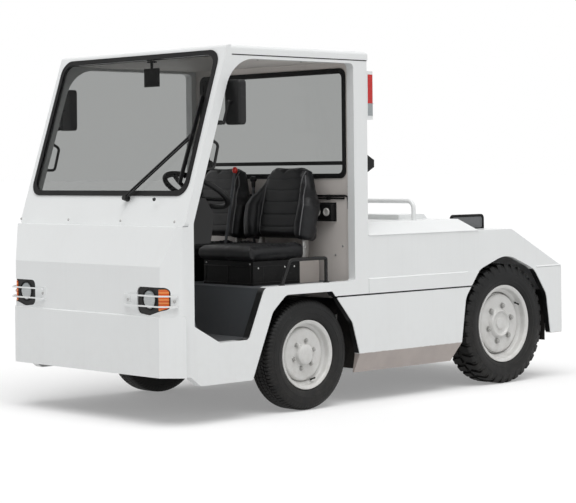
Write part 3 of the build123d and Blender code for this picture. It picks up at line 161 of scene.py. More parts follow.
def turned_shell(rows, origin, axis, sides=96):
    """Ring-shaped form turned about an axis from a closed outline of (along, radius) rows."""
    origin, axis = Vector(origin), Vector(axis).normalized()
    first, second = across(axis)
    rings = []
    for i in range(sides):
        spoke = first * cos(tau * i / sides) + second * sin(tau * i / sides)
        rings.append([origin + axis * along + spoke * radius for along, radius in rows])
    return ring_stack(rings, closed=True)


def rounded_block(low, high, radius, segments=3):
    """Box between two corners with its edges rounded."""
    low, high = Vector(low), Vector(high)
    form = bmesh.new()
    bmesh.ops.create_cube(form, size=1)
    for vert in form.verts:
        vert.co = Vector((vert.co[i] * abs(high[i] - low[i]) for i in range(3))) + (low + high) / 2
    bmesh.ops.bevel(
        form, geom=list(form.edges), offset=radius, segments=segments, profile=0.5, affect="EDGES"
    )
    verts = [v.co.copy() for v in form.verts]
    faces = [tuple(v.index for v in f.verts) for f in form.faces]
    form.free()
    return verts, faces


def oriented_block(size, radius, place, segments=3):
    """Rounded box of a size centred on a placing matrix."""
    half = Vector(size) / 2
    return moved(rounded_block(-half, half, radius, segments), place)


def frame_at(origin, normal, up=(0, 0, 1)):
    """Matrix whose Z is the normal and whose Y leans towards up."""
    z = Vector(normal).normalized()
    x = Vector(up).cross(z)
    if x.length < 1e-4:
        x = Vector((1, 0, 0))
    x.normalize()
    y = z.cross(x)
    matrix = Matrix((x, y, z)).transposed().to_4x4()
    matrix.translation = Vector(origin)
    return matrix


def slab(outline, place, low, high, radius=0.0, segments=2):
    """Flat piece from an outline in a placed plane, between two heights, rims rounded."""
    form = bmesh.new()
    bottom = [form.verts.new((p[0], p[1], low)) for p in outline]
    face = form.faces.new(bottom)
    grown = bmesh.ops.extrude_face_region(form, geom=[face])
    for item in grown["geom"]:
        if isinstance(item, bmesh.types.BMVert):
            item.co.z = high
    bmesh.ops.recalc_face_normals(form, faces=form.faces)
    if radius:
        rims = [e for e in form.edges if abs(e.verts[0].co.z - e.verts[1].co.z) < 1e-6]
        bmesh.ops.bevel(
            form, geom=rims, offset=radius, segments=segments, profile=0.5, affect="EDGES"
        )
    verts = [place @ v.co for v in form.verts]
    form.verts.index_update()
    faces = [tuple(v.index for v in f.verts) for f in form.faces]
    form.free()
    return verts, faces


def rounded_outline(width, height, radius, steps=6):
    """Closed outline of a rounded rectangle about the origin."""
    points = []
    for turn, (sx, sy) in enumerate(((1, 1), (-1, 1), (-1, -1), (1, -1))):
        centre = (sx * (width / 2 - radius), sy * (height / 2 - radius))
        for i in range(steps + 1):
            angle = pi / 2 * (turn + i / steps)
            points.append((centre[0] + radius * cos(angle), centre[1] + radius * sin(angle)))
    return points


def pipe(points, radius, sides=12, closed=False):
    """Round bar along a smooth NURBS line through the neighbourhood of its points."""
    curve = bpy.data.curves.new("pipe", "CURVE")
    curve.dimensions = "3D"
    curve.bevel_depth = radius
    curve.bevel_resolution = max(1, sides // 4)
    curve.use_fill_caps = True
    line = curve.splines.new("NURBS")
    line.points.add(len(points) - 1)
    for control, point in zip(line.points, points):
        control.co = (*point, 1)
    line.order_u = 3
    line.use_endpoint_u = not closed
    line.use_cyclic_u = closed
    line.resolution_u = 8
    holder = bpy.data.objects.new("pipe", curve)
    bpy.context.scene.collection.objects.link(holder)
    bpy.context.view_layer.update()
    mesh = bpy.data.meshes.new_from_object(holder.evaluated_get(bpy.context.evaluated_depsgraph_get()))
    verts = [v.co.copy() for v in mesh.vertices]
    faces = [tuple(f.vertices) for f in mesh.polygons]
    bpy.data.objects.remove(holder)
    bpy.data.curves.remove(curve)
    bpy.data.meshes.remove(mesh)
    return verts, faces


def piece(name, part, material, body="chassis", slot="black_plastic", sharp=35):
    """Piece from a (verts, faces) pair."""
    return add_object(name, mesh_of(name, *part), material, body, sharp)


def trim(name, part, finish, body="chassis"):
    """Piece in one of the row's own finishes."""
    return piece(name, part, MATERIALS[finish], body, finish)


# ------------------------------------------------------------------ shader groups
class Net:
    """Adds and links nodes in one node tree."""

    def __init__(self, tree):
        self.tree = tree
        self.count = 0

    def add(self, kind, inputs=None, **settings):
        node = self.tree.nodes.new(kind)
        node.location = (self.count % 9 * 190, -(self.count // 9) * 280)
        self.count += 1
        for key, value in settings.items():
            setattr(node, key, value)
        for key, value in (inputs or {}).items():
            self.feed(node.inputs[key], value)
        return node

    def feed(self, socket, value):
        if isinstance(value, bpy.types.NodeSocket):
            self.tree.links.new(value, socket)
        else:
            socket.default_value = value

    def math(self, operation, first, second=0.0, clamp=False):
        node = self.add("ShaderNodeMath", {0: first, 1: second}, operation=operation)
        node.use_clamp = clamp
        return node.outputs[0]

    def span(self, value, low, high, to_low=0.0, to_high=1.0, smooth=False):
        """Value between two limits mapped onto two others, clamped."""
        kind = "SMOOTHSTEP" if smooth else "LINEAR"
        node = self.add("ShaderNodeMapRange", interpolation_type=kind)
        for socket, number in zip(node.inputs[:5], (value, low, high, to_low, to_high)):
            self.feed(socket, number)
        return node.outputs[0]

    def blend(self, factor, first, second):
        node = self.add("ShaderNodeMix", data_type="RGBA")
        self.feed(node.inputs[0], factor)
        self.feed(node.inputs[6], first)
        self.feed(node.inputs[7], second)
        return node.outputs[2]

    def noise(self, vector, scale, detail=3.0, rough=0.5):
        inputs = {"Vector": vector, "Scale": scale, "Detail": detail, "Roughness": rough}
        return self.add("ShaderNodeTexNoise", inputs).outputs[0]

    def stretched(self, vector, scale):
        return self.add("ShaderNodeMapping", {"Vector": vector, "Scale": scale}).outputs[0]

    def place(self):
        return self.add("ShaderNodeTexCoord").outputs["Object"]


KINDS = {"c": "NodeSocketColor", "f": "NodeSocketFloat", "v": "NodeSocketVector"}


def shader_group(name, inputs, outputs):
    """New shader group from (socket name, kind, default) rows; returns its net and ends."""
    tree = bpy.data.node_groups.new(name, "ShaderNodeTree")
    for label, kind, value in inputs:
        socket = tree.interface.new_socket(label, in_out="INPUT", socket_type=KINDS[kind])
        socket.default_value = value
    for label, kind in outputs:
        tree.interface.new_socket(label, in_out="OUTPUT", socket_type=KINDS[kind])
    net = Net(tree)
    source = net.add("NodeGroupInput").outputs
    sink = net.add("NodeGroupOutput").inputs
    return net, source, sink


def build_shade_variation():
    """Broad, soft drift of a colour, as paint and rubber have."""
    net, source, sink = shader_group(
        "Shade Variation",
        [("Colour", "c", (0.8, 0.8, 0.8, 1)), ("Amount", "f", 0.06), ("Scale", "f", 3.0)],
        [("Colour", "c"), ("Mask", "f")],
    )
    mask = net.span(net.noise(net.place(), source["Scale"], 4.0, 0.55), 0.3, 0.7)
    low = net.math("SUBTRACT", 1.0, source["Amount"])
    value = net.span(mask, 0.0, 1.0, low, 1.0)
    dark = net.add("ShaderNodeVectorMath", operation="SCALE")
    net.feed(dark.inputs[0], source["Colour"])
    net.feed(dark.inputs["Scale"], value)
    net.feed(sink["Colour"], dark.outputs[0])
    net.feed(sink["Mask"], mask)


def build_road_dust():
    """Pale road dirt that gathers low down and on faces that look up."""
    net, source, sink = shader_group(
        "Road Dust",
        [
            ("Colour", "c", (0.8, 0.8, 0.8, 1)),
            ("Dust", "c", (0.28, 0.24, 0.2, 1)),
            ("Amount", "f", 0.3),
            ("Floor", "f", 0.1),
            ("Ceiling", "f", 0.7),
            ("Scale", "f", 22.0),
        ],
        [("Colour", "c"), ("Mask", "f")],
    )
    where = net.place()
    axes = net.add("ShaderNodeSeparateXYZ", {0: where})
    low = net.span(axes.outputs["Z"], source["Floor"], source["Ceiling"], 1.0, 0.0, smooth=True)
    facing = net.add("ShaderNodeNewGeometry").outputs["Normal"]
    up = net.add("ShaderNodeSeparateXYZ", {0: facing}).outputs["Z"]
    settled = net.span(up, 0.5, 1.0, 0.0, 0.35)
    patch = net.span(net.noise(where, source["Scale"], 5.0, 0.6), 0.38, 0.68, 0.25, 1.0)
    speck = net.span(net.noise(where, 160.0, 2.0), 0.45, 0.75, 0.6, 1.0)
    reach = net.math("ADD", low, settled, clamp=True)
    mask = net.math("MULTIPLY", net.math("MULTIPLY", reach, patch), speck)
    mask = net.math("MULTIPLY", mask, source["Amount"], clamp=True)
    net.feed(sink["Colour"], net.blend(mask, source["Colour"], source["Dust"]))
    net.feed(sink["Mask"], mask)


def build_rain_streaks():
    """Faint upright streaks that water leaves down a wall."""
    net, source, sink = shader_group(
        "Rain Streaks",
        [
            ("Colour", "c", (0.8, 0.8, 0.8, 1)),
            ("Streak", "c", (0.5, 0.47, 0.43, 1)),
            ("Amount", "f", 0.12),
        ],
        [("Colour", "c"), ("Mask", "f")],
    )
    where = net.place()
    lines = net.noise(net.stretched(where, (34.0, 34.0, 1.4)), 1.0, 4.0, 0.65)
    facing = net.add("ShaderNodeNewGeometry").outputs["Normal"]
    up = net.add("ShaderNodeSeparateXYZ", {0: facing}).outputs["Z"]
    upright = net.span(net.math("ABSOLUTE", up), 0.1, 0.6, 1.0, 0.0)
    mask = net.math("MULTIPLY", net.span(lines, 0.52, 0.8), upright)
    mask = net.math("MULTIPLY", mask, source["Amount"], clamp=True)
    net.feed(sink["Colour"], net.blend(mask, source["Colour"], source["Streak"]))
    net.feed(sink["Mask"], mask)


def build_scuffs():
    """Small rubbed spots and short scratches where things are handled or kicked."""
    net, source, sink = shader_group(
        "Scuffs",
        [
            ("Colour", "c", (0.05, 0.05, 0.05, 1)),
            ("Rubbed", "c", (0.2, 0.2, 0.2, 1)),
            ("Amount", "f", 0.4),
            ("Scale", "f", 9.0),
        ],
        [("Colour", "c"), ("Mask", "f")],
    )
    where = net.place()
    broad = net.span(net.noise(where, source["Scale"], 3.0), 0.5, 0.7)
    lines = net.noise(net.stretched(where, (90.0, 22.0, 60.0)), 1.0, 5.0, 0.7)
    fine = net.span(lines, 0.55, 0.72)
    mask = net.math("MULTIPLY", net.math("MULTIPLY", broad, fine), source["Amount"], clamp=True)
    net.feed(sink["Colour"], net.blend(mask, source["Colour"], source["Rubbed"]))
    net.feed(sink["Mask"], mask)


def build_fine_grain():
    """Fine random height, for orange peel, rubber skin and moulded plastic."""
    net, source, sink = shader_group(
        "Fine Grain",
        [("Scale", "f", 400.0), ("Detail", "f", 2.0), ("Roughness", "f", 0.5)],
        [("Height", "f")],
    )
    height = net.noise(net.place(), source["Scale"], source["Detail"], source["Roughness"])
    net.feed(sink["Height"], height)


def build_hide_grain():
    """Pebbled grain of coated seat cloth: small cells with creases between them."""
    net, source, sink = shader_group(
        "Hide Grain", [("Scale", "f", 420.0), ("Wrinkle", "f", 34.0)], [("Height", "f"), ("Mask", "f")]
    )
    where = net.place()
    cells = net.add("ShaderNodeTexVoronoi", {"Vector": where, "Scale": source["Scale"]})
    cells.feature = "DISTANCE_TO_EDGE"
    pebble = net.span(cells.outputs["Distance"], 0.0, 0.18)
    soft = net.noise(where, source["Wrinkle"], 4.0, 0.6)
    height = net.math("ADD", net.math("MULTIPLY", pebble, 0.35), net.math("MULTIPLY", soft, 0.65))
    net.feed(sink["Height"], height)
    net.feed(sink["Mask"], net.span(soft, 0.35, 0.7))


# Finishes: base colour, roughness low and high, metallic, coat, grain scale, bump height in
# metres, shade drift, dust amount, dust ceiling, streaks, scuffs
FINISHES = {
    "white_paint": ((0.80, 0.815, 0.815), 0.30, 0.42, 0.0, 0.25, 900, 0.00002, 0.03, 0.10, 0.62, 0.05, 0.0),
    "beige_paint": ((0.76, 0.715, 0.68), 0.42, 0.55, 0.0, 0.1, 620, 0.00004, 0.09, 0.15, 1.0, 0.12, 0.10),
    "black_paint": ((0.006, 0.0063, 0.0067), 0.34, 0.52, 0.0, 0.05, 700, 0.00003, 0.2, 0.25, 0.9, 0.0, 0.5),
    "charcoal_paint": ((0.078, 0.084, 0.092), 0.50, 0.66, 0.0, 0.0, 520, 0.00008, 0.2, 0.22, 0.75, 0.0, 0.35),
    "wheel_paint": ((0.70, 0.70, 0.685), 0.34, 0.50, 0.0, 0.2, 800, 0.00003, 0.06, 0.42, 0.75, 0.0, 0.0),
    "black_plastic": ((0.007, 0.0072, 0.0075), 0.42, 0.58, 0.0, 0.0, 1500, 0.00006, 0.12, 0.10, 0.9, 0.0, 0.35),
    "black_rubber": ((0.006, 0.006, 0.0062), 0.55, 0.72, 0.0, 0.0, 1100, 0.00005, 0.15, 0.22, 0.7, 0.0, 0.25),
    "tyre_rubber": ((0.0035, 0.0038, 0.004), 0.46, 0.66, 0.0, 0.0, 900, 0.00008, 0.25, 0.06, 0.75, 0.0, 0.25),
    "bare_steel": ((0.42, 0.42, 0.41), 0.28, 0.42, 1.0, 0.0, 600, 0.00002, 0.12, 0.2, 0.9, 0.0, 0.2),
    "cast_metal": ((0.045, 0.045, 0.047), 0.55, 0.75, 0.3, 0.0, 260, 0.00035, 0.3, 0.55, 0.9, 0.0, 0.2),
}
DUST = (0.26, 0.225, 0.19, 1)
STREAK = (0.42, 0.39, 0.35, 1)
RUBBED = {"black_paint": (0.16, 0.16, 0.16, 1), "beige_paint": (0.24, 0.22, 0.20, 1)}
# Finishes that mirror the light less than paint does
SPECULAR = {
    "tyre_rubber": 0.3,
    "black_paint": 0.25,
    "seat_box_paint": 0.12,
    "black_rubber": 0.25,
    "black_plastic": 0.3,
    "charcoal_paint": 0.3,
}
MATERIALS = {}


def use_group(net, name, **inputs):
    """Place a shader group in a material with its values."""
    node = net.add("ShaderNodeGroup", node_tree=bpy.data.node_groups[name])
    for label, value in inputs.items():
        net.feed(node.inputs[label], value)
    return node.outputs


def new_material(name):
    """Material with an empty tree, its net, shader and surface output."""
    material = bpy.data.materials.new(name)
    material.use_nodes = True
    material.node_tree.nodes.clear()
    net = Net(material.node_tree)
    shader = net.add("ShaderNodeBsdfPrincipled")
    output = net.add("ShaderNodeOutputMaterial", {"Surface": shader.outputs[0]})
    MATERIALS[name] = material
    return net, shader, output


def raise_bump(net, shader, height, metres, strength=1.0):
    bump = net.add("ShaderNodeBump", {"Height": height, "Strength": strength, "Distance": metres})
    net.feed(shader.inputs["Normal"], bump.outputs[0])


def painted(name, base=None, finish=None):
    """Material from a row of the finish table, with drift, streaks, scuffs and dust."""
    row = FINISHES[finish or name]
    colour, low, high, metal, coat, grain, height, drift, dust, ceiling, streaks, scuffs = row
    net, shader, _ = new_material(name)
    shade = (*(base or colour), 1)
    out = use_group(net, "Shade Variation", Colour=shade, Amount=drift, Scale=2.6)
    colour, mask = out["Colour"], out["Mask"]
    if streaks:
        colour = use_group(net, "Rain Streaks", Colour=colour, Streak=STREAK, Amount=streaks)["Colour"]
    if scuffs:
        rubbed = RUBBED.get(name, (0.09, 0.09, 0.09, 1))
        colour = use_group(net, "Scuffs", Colour=colour, Rubbed=rubbed, Amount=scuffs)["Colour"]
    if dust:
        dirt = use_group(net, "Road Dust", Colour=colour, Dust=DUST, Amount=dust, Ceiling=ceiling)
        colour = dirt["Colour"]
        mask = net.math("ADD", mask, dirt["Mask"], clamp=True)
    net.feed(shader.inputs["Base Color"], colour)
    net.feed(shader.inputs["Roughness"], net.span(mask, 0.0, 1.0, low, high))
    shader.inputs["Metallic"].default_value = metal
    shader.inputs["Specular IOR Level"].default_value = SPECULAR.get(name, 0.5)
    shader.inputs["Coat Weight"].default_value = coat
    shader.inputs["Coat Roughness"].default_value = 0.15
    raise_bump(net, shader, use_group(net, "Fine Grain", Scale=grain)["Height"], height)
    return net, shader


def vinyl():
    """Black coated seat cloth."""
    net, shader, _ = new_material("black_vinyl")
    shade = (0.0065, 0.0068, 0.0078, 1)
    out = use_group(net, "Shade Variation", Colour=shade, Amount=0.35, Scale=5.0)
    grain = use_group(net, "Hide Grain", Scale=460.0, Wrinkle=26.0)
    worn = net.math("MULTIPLY", grain["Mask"], 0.5)
    net.feed(shader.inputs["Base Color"], net.blend(worn, out["Colour"], (0.015, 0.0157, 0.018, 1)))
    net.feed(shader.inputs["Roughness"], net.span(grain["Mask"], 0.0, 1.0, 0.36, 0.52))
    shader.inputs["Specular IOR Level"].default_value = 0.3
    shader.inputs["Sheen Weight"].default_value = 0.03
    raise_bump(net, shader, grain["Height"], 0.0005, 0.7)


RETURN_SHADE_FRONT = -1.22          # Y where the painted shade on the door's inner return starts
RETURN_SHADE_HEIGHTS = (0.2925, 0.704)
RETURN_SHADE_DEPTH = 0.7325         # the painted shade lies nearer the middle than this X
BEVEL_SHADE_TOP = 0.290           # the lower bevel is painted beige grey under this height, as painted shade


def side_paint(name, base, bevel_shade):
    """Body paint with painted shade: near black on its inner returns and, when its last argument is above
    nought, beige grey on its lower bevel.
    """
    net, shader = painted(name, base, "white_paint")
    clean = shader.inputs["Base Color"].links[0].from_socket
    where = net.place()
    height = net.add("ShaderNodeSeparateXYZ", {0: where}).outputs["Z"]
    # Beige grey painted shade on the lower bevel, which faces down, away from the light
    edge = net.span(net.noise(where, 30.0, 4.0), 0.3, 0.7, -0.0015, 0.0015)
    low = net.span(net.math("ADD", height, edge), BEVEL_SHADE_TOP - 0.0015, BEVEL_SHADE_TOP + 0.0015, bevel_shade, 0.0)
    bevel_shade_tone = use_group(net, "Shade Variation", Colour=(0.42, 0.37, 0.345, 1), Amount=0.12, Scale=9.0)
    with_bevel_shade = net.blend(low, clean, bevel_shade_tone["Colour"])
    # Near-black painted shade on the inner returns of the door openings, between two heights and behind a
    # station
    side = net.math("ABSOLUTE", net.add("ShaderNodeSeparateXYZ", {0: where}).outputs["X"])
    inside = net.math("LESS_THAN", side, RETURN_SHADE_DEPTH)
    along = net.add("ShaderNodeSeparateXYZ", {0: where}).outputs["Y"]
    inside = net.math("MULTIPLY", inside, net.math("GREATER_THAN", along, RETURN_SHADE_FRONT))
    inside = net.math("MULTIPLY", inside, net.math("GREATER_THAN", height, RETURN_SHADE_HEIGHTS[0]))
    inside = net.math("MULTIPLY", inside, net.math("LESS_THAN", height, RETURN_SHADE_HEIGHTS[1]))
    # Colour of the painted shade on the inner returns
    seal = use_group(net, "Shade Variation", Colour=(0.008, 0.008, 0.008, 1), Amount=0.4, Scale=12.0)
    net.feed(shader.inputs["Base Color"], net.blend(inside, with_bevel_shade, seal["Colour"]))


def glass(name, tint, rough=0.02, clear=1.0, index=1.12):
    net, shader, _ = new_material(name)
    film = use_group(net, "Road Dust", Colour=(*tint, 1), Dust=(0.5, 0.5, 0.48, 1), Amount=0.05, Ceiling=3.0)
    net.feed(shader.inputs["Base Color"], film["Colour"])
    net.feed(shader.inputs["Roughness"], net.span(film["Mask"], 0.0, 0.1, rough, rough + 0.05))
    shader.inputs["Transmission Weight"].default_value = clear
    shader.inputs["IOR"].default_value = index
    return net, shader


def lens_glass():
    """Moulded lenses: clear round lamps, with a painted reflection, and amber wraps ahead, red over clear
    behind.
    """
    net, shader = glass("lamp_glass", (0.9, 0.9, 0.88), 0.06, 0.12, 1.45)
    axes = net.add("ShaderNodeSeparateXYZ", {0: net.place()})
    side = net.math("ABSOLUTE", axes.outputs["X"])
    ahead = net.math("LESS_THAN", axes.outputs["Y"], -1.2)
    outer = net.math("MULTIPLY", net.math("GREATER_THAN", side, LENS_SPLIT), ahead)
    behind = net.math("SUBTRACT", 1.0, ahead)
    red = net.math("MULTIPLY", net.math("GREATER_THAN", axes.outputs["Z"], 1.729), behind)
    bands = net.add("ShaderNodeTexWave", {"Vector": net.place(), "Scale": 17.0}, bands_direction="Z")
    orange = net.blend(bands.outputs["Fac"], (0.75, 0.10, 0.01, 1), (0.98, 0.34, 0.08, 1))
    # Painted reflection: clear lens glass is pale below 0.63 m and darker above 0.72 m, so the round front
    # lamps are pale at their foot
    glow = net.span(axes.outputs["Z"], 0.63, 0.72, 0.0, 1.0)
    clear = net.blend(glow, (0.80, 0.82, 0.82, 1), (0.36, 0.39, 0.40, 1))
    colour = net.blend(outer, clear, orange)
    net.feed(shader.inputs["Base Color"], net.blend(red, colour, (0.62, 0.012, 0.010, 1)))
    ribs = net.add("ShaderNodeTexWave", {"Vector": net.place(), "Scale": 34.0}, bands_direction="Z")
    raise_bump(net, shader, ribs.outputs["Fac"], 0.0008)


def plain_shine(name, colour, rough, metal=0.0):
    """Small coloured or bright parts: knobs, piping greyed as painted highlight, plates, screws and mirror
    faces, and the flat black of painted shade.
    """
    net, shader, _ = new_material(name)
    out = use_group(net, "Shade Variation", Colour=(*colour, 1), Amount=0.15, Scale=40.0)
    net.feed(shader.inputs["Base Color"], out["Colour"])
    net.feed(shader.inputs["Roughness"], net.span(out["Mask"], 0.0, 1.0, rough, rough + 0.1))
    shader.inputs["Metallic"].default_value = metal
    raise_bump(net, shader, use_group(net, "Fine Grain", Scale=900.0)["Height"], 0.00002)


LENS_SPLIT = 0.620          # X where the round front lens ends and the amber one starts
SEAT_BOX_SPLIT = -0.545     # Y behind which the seat boxes are beige


def seat_box_paint():
    """Black seat boxes whose rear ends are painted like the wall behind them."""
    net, shader = painted("seat_box_paint", finish="black_paint")
    dark = shader.inputs["Base Color"].links[0].from_socket
    along = net.add("ShaderNodeSeparateXYZ", {0: net.place()}).outputs["Y"]
    behind = net.math("GREATER_THAN", along, SEAT_BOX_SPLIT)
    beige = use_group(net, "Shade Variation", Colour=(0.42, 0.385, 0.36, 1), Amount=0.1, Scale=6.0)
    net.feed(shader.inputs["Base Color"], net.blend(behind, dark, beige["Colour"]))


def build_materials(body, wheels):
    for build in (
        build_shade_variation,
        build_road_dust,
        build_rain_streaks,
        build_scuffs,
        build_fine_grain,
        build_hide_grain,
    ):
        build()
    chosen = {"white_paint": tuple(body), "wheel_paint": tuple(wheels)}
    for name in FINISHES:
        painted(name, chosen.get(name))
    vinyl()
    side_paint("side_paint", tuple(body), 1.0)
    side_paint("cab_side_paint", tuple(body), 0.0)
    seat_box_paint()
    glass("tinted_glass", (0.328, 0.336, 0.331))
    lens_glass()
    plain_shine("red_knob", (0.62, 0.02, 0.012), 0.3)
    # The piping's grey is painted highlight: it stands in for light caught along the seams of black piping
    plain_shine("seat_piping", (0.13, 0.13, 0.135), 0.3)
    plain_shine("guard_grey", (0.105, 0.11, 0.115), 0.42)
    plain_shine("pale_plastic", (0.55, 0.54, 0.52), 0.4)
    plain_shine("bright_screw", (0.6, 0.6, 0.59), 0.25, 1.0)
    # Flat black for painted shade, on the sheets in the crevices behind the wheel discs
    plain_shine("painted_shade_black", (0.006, 0.006, 0.006), 0.8)
    plain_shine("mirror_silver", (0.85, 0.86, 0.86), 0.02, 1.0)


# Solids whose finish isn't their slot's own
NODE_FINISH = {
    "rear_side_left": "side_paint",
    "rear_side_right": "side_paint",
    "cab_side_left": "cab_side_paint",
    "cab_side_right": "cab_side_paint",
    "seat_base": "seat_box_paint",
}


# ------------------------------------------------------------------ geometry trees
SOCKETS = {"i": "NodeSocketInt", "f": "NodeSocketFloat", "v": "NodeSocketVector"}
SOCKETS |= {"m": "NodeSocketMaterial", "o": "NodeSocketObject"}


def geometry_tree(name, inputs):
    """New geometry tree from (socket name, kind) rows; returns its net, inputs and output."""
    tree = bpy.data.node_groups.new(name, "GeometryNodeTree")
    tree.interface.new_socket("Geometry", in_out="INPUT", socket_type="NodeSocketGeometry")
    for label, kind in inputs:
        tree.interface.new_socket(label, in_out="INPUT", socket_type=SOCKETS[kind])
    tree.interface.new_socket("Geometry", in_out="OUTPUT", socket_type="NodeSocketGeometry")
    net = Net(tree)
    return net, net.add("NodeGroupInput").outputs, net.add("NodeGroupOutput").inputs


def finish_tree(net, source, sink, instances):
    """Turn instances into real faces and give them the material."""
    real = net.add("GeometryNodeRealizeInstances", {0: instances})
    coated = net.add("GeometryNodeSetMaterial", {"Geometry": real.outputs[0]})
    net.feed(coated.inputs["Material"], source["Material"])
    net.feed(sink["Geometry"], coated.outputs[0])


def build_ring_tree():
    """Copies of a form set round an axis that lies across the vehicle."""
    rows = [("Centre", "v"), ("Count", "i"), ("Turn", "f"), ("Material", "m")]
    net, source, sink = geometry_tree("Ring of Copies", rows)
    line = net.add("GeometryNodeMeshLine", {"Count": source["Count"], "Offset": (0, 0, 0)})
    copies = net.add(
        "GeometryNodeInstanceOnPoints", {"Points": line.outputs[0], "Instance": source["Geometry"]}
    )
    index = net.add("GeometryNodeInputIndex").outputs[0]
    step = net.math("DIVIDE", tau, source["Count"])
    angle = net.math("ADD", net.math("MULTIPLY", index, step), source["Turn"])
    turn = net.add("ShaderNodeCombineXYZ", {0: angle}).outputs[0]
    turned = net.add("GeometryNodeRotateInstances", {"Instances": copies.outputs[0]})
    net.feed(turned.inputs["Rotation"], turn)
    net.feed(turned.inputs["Pivot Point"], source["Centre"])
    turned.inputs["Local Space"].default_value = False
    finish_tree(net, source, sink, turned.outputs[0])


def build_row_tree():
    """Copies of a form set one step apart."""
    rows = [("Count", "i"), ("Step", "v"), ("Material", "m")]
    net, source, sink = geometry_tree("Row of Copies", rows)
    line = net.add("GeometryNodeMeshLine", {"Count": source["Count"], "Offset": source["Step"]})
    copies = net.add(
        "GeometryNodeInstanceOnPoints", {"Points": line.outputs[0], "Instance": source["Geometry"]}
    )
    finish_tree(net, source, sink, copies.outputs[0])


def build_fastener_tree():
    """A head set on each point, looking the way that the point's facing attribute says."""
    rows = [("Head", "o"), ("Size", "f"), ("Material", "m")]
    net, source, sink = geometry_tree("Fasteners", rows)
    facing = net.add("GeometryNodeInputNamedAttribute", data_type="FLOAT_VECTOR")
    facing.inputs["Name"].default_value = "facing"
    turn = net.add("FunctionNodeAlignRotationToVector", {"Vector": facing.outputs[0]}, axis="Z")
    head = net.add("GeometryNodeObjectInfo", {"Object": source["Head"]})
    copies = net.add("GeometryNodeInstanceOnPoints", {"Points": source["Geometry"]})
    net.feed(copies.inputs["Instance"], head.outputs["Geometry"])
    net.feed(copies.inputs["Rotation"], turn.outputs[0])
    net.feed(copies.inputs["Scale"], source["Size"])
    finish_tree(net, source, sink, copies.outputs[0])


def grown(tree_name, mesh, values):
    """Plain mesh that a geometry tree makes of a mesh and its named inputs."""
    tree = bpy.data.node_groups[tree_name]
    holder = bpy.data.objects.new("grown", mesh)
    bpy.context.scene.collection.objects.link(holder)
    modifier = holder.modifiers.new("grown", "NODES")
    modifier.node_group = tree
    for item in tree.interface.items_tree:
        if item.in_out == "INPUT" and item.name in values:
            modifier[item.identifier] = values[item.name]
    graph = bpy.context.evaluated_depsgraph_get()
    graph.update()
    made = bpy.data.meshes.new_from_object(holder.evaluated_get(graph))
    holder.modifiers.clear()
    bpy.data.objects.remove(holder)
    return made


def ringed(part, centre, count, material, turn=0.0):
    mesh = mesh_of("ringed", *part)
    values = {"Centre": Vector(centre), "Count": count, "Turn": turn, "Material": material}
    return grown("Ring of Copies", mesh, values)


def lined(part, count, step, material):
    mesh = mesh_of("lined", *part)
    values = {"Count": count, "Step": Vector(step), "Material": material}
    return grown("Row of Copies", mesh, values)


def fastened(head, rows, material, size=1.0):
    """Heads on (point, facing) rows; the head's own Z looks outwards."""
    points = bpy.data.meshes.new("points")
    points.from_pydata([tuple(point) for point, _ in rows], [], [])
    facing = points.attributes.new("facing", "FLOAT_VECTOR", "POINT")
    for item, (_, way) in zip(facing.data, rows):
        item.vector = Vector(way).normalized()
    form = bpy.data.objects.new("head", mesh_of("head", *head))
    bpy.context.scene.collection.objects.link(form)
    made = grown("Fasteners", points, {"Head": form, "Size": size, "Material": material})
    bpy.data.objects.remove(form)
    return made


def parts_of(mesh):
    """(verts, faces) of a mesh."""
    return [v.co.copy() for v in mesh.vertices], [tuple(f.vertices) for f in mesh.polygons]


# Heads, with Z outwards
def screw_head(radius=0.008, rise=0.0035):
    rows = [(-0.001, radius), (0.0008, radius), (rise * 0.8, radius * 0.72), (rise, radius * 0.3)]
    return turned_form(rows, (0, 0, 0), (0, 0, 1), 14)


def bolt_head(flats=0.019, rise=0.009, washer=0.014):
    """Hexagonal head on a washer."""
    corner = flats / 2 / cos(pi / 6)
    rows = [(-0.001, washer), (0.0018, washer), (0.0024, washer * 0.93)]
    ring = turned_form(rows, (0, 0, 0), (0, 0, 1), 20)
    head = turned_form(
        [(0.0015, corner), (rise - 0.0015, corner), (rise, corner * 0.86)], (0, 0, 0), (0, 0, 1), 6
    )
    return join(ring, head)


def wheel_nut(flats, rise, stud):
    """Wheel nut with a coned foot and the end of its stud."""
    corner = flats / 2 / cos(pi / 6)
    rows = [(-0.004, corner * 1.1), (0.001, corner * 1.22), (0.003, corner)]
    foot = turned_form(rows, (0, 0, 0), (0, 0, 1), 24)
    nut = turned_form(
        [(0.001, corner), (rise - 0.002, corner), (rise, corner * 0.84)], (0, 0, 0), (0, 0, 1), 6
    )
    end = turned_form(
        [(rise - 0.003, stud), (rise + 0.003, stud), (rise + 0.0045, stud * 0.8)], (0, 0, 0), (0, 0, 1), 16
    )
    return join(foot, nut, end)


# ------------------------------------------------------------------ tyres and wheels
RIM_FACE = 0.708            # X of the outer rim flanges
# Wheels: name, side, axle station, height, kind
WHEELS = [
    ("front_left", 1, 1.028, 0.3115, "front"),
    ("front_right", -1, 1.028, 0.3115, "front"),
    ("rear_left", 1, 2.744, 0.374, "rear"),
    ("rear_right", -1, 2.744, 0.374, "rear"),
]
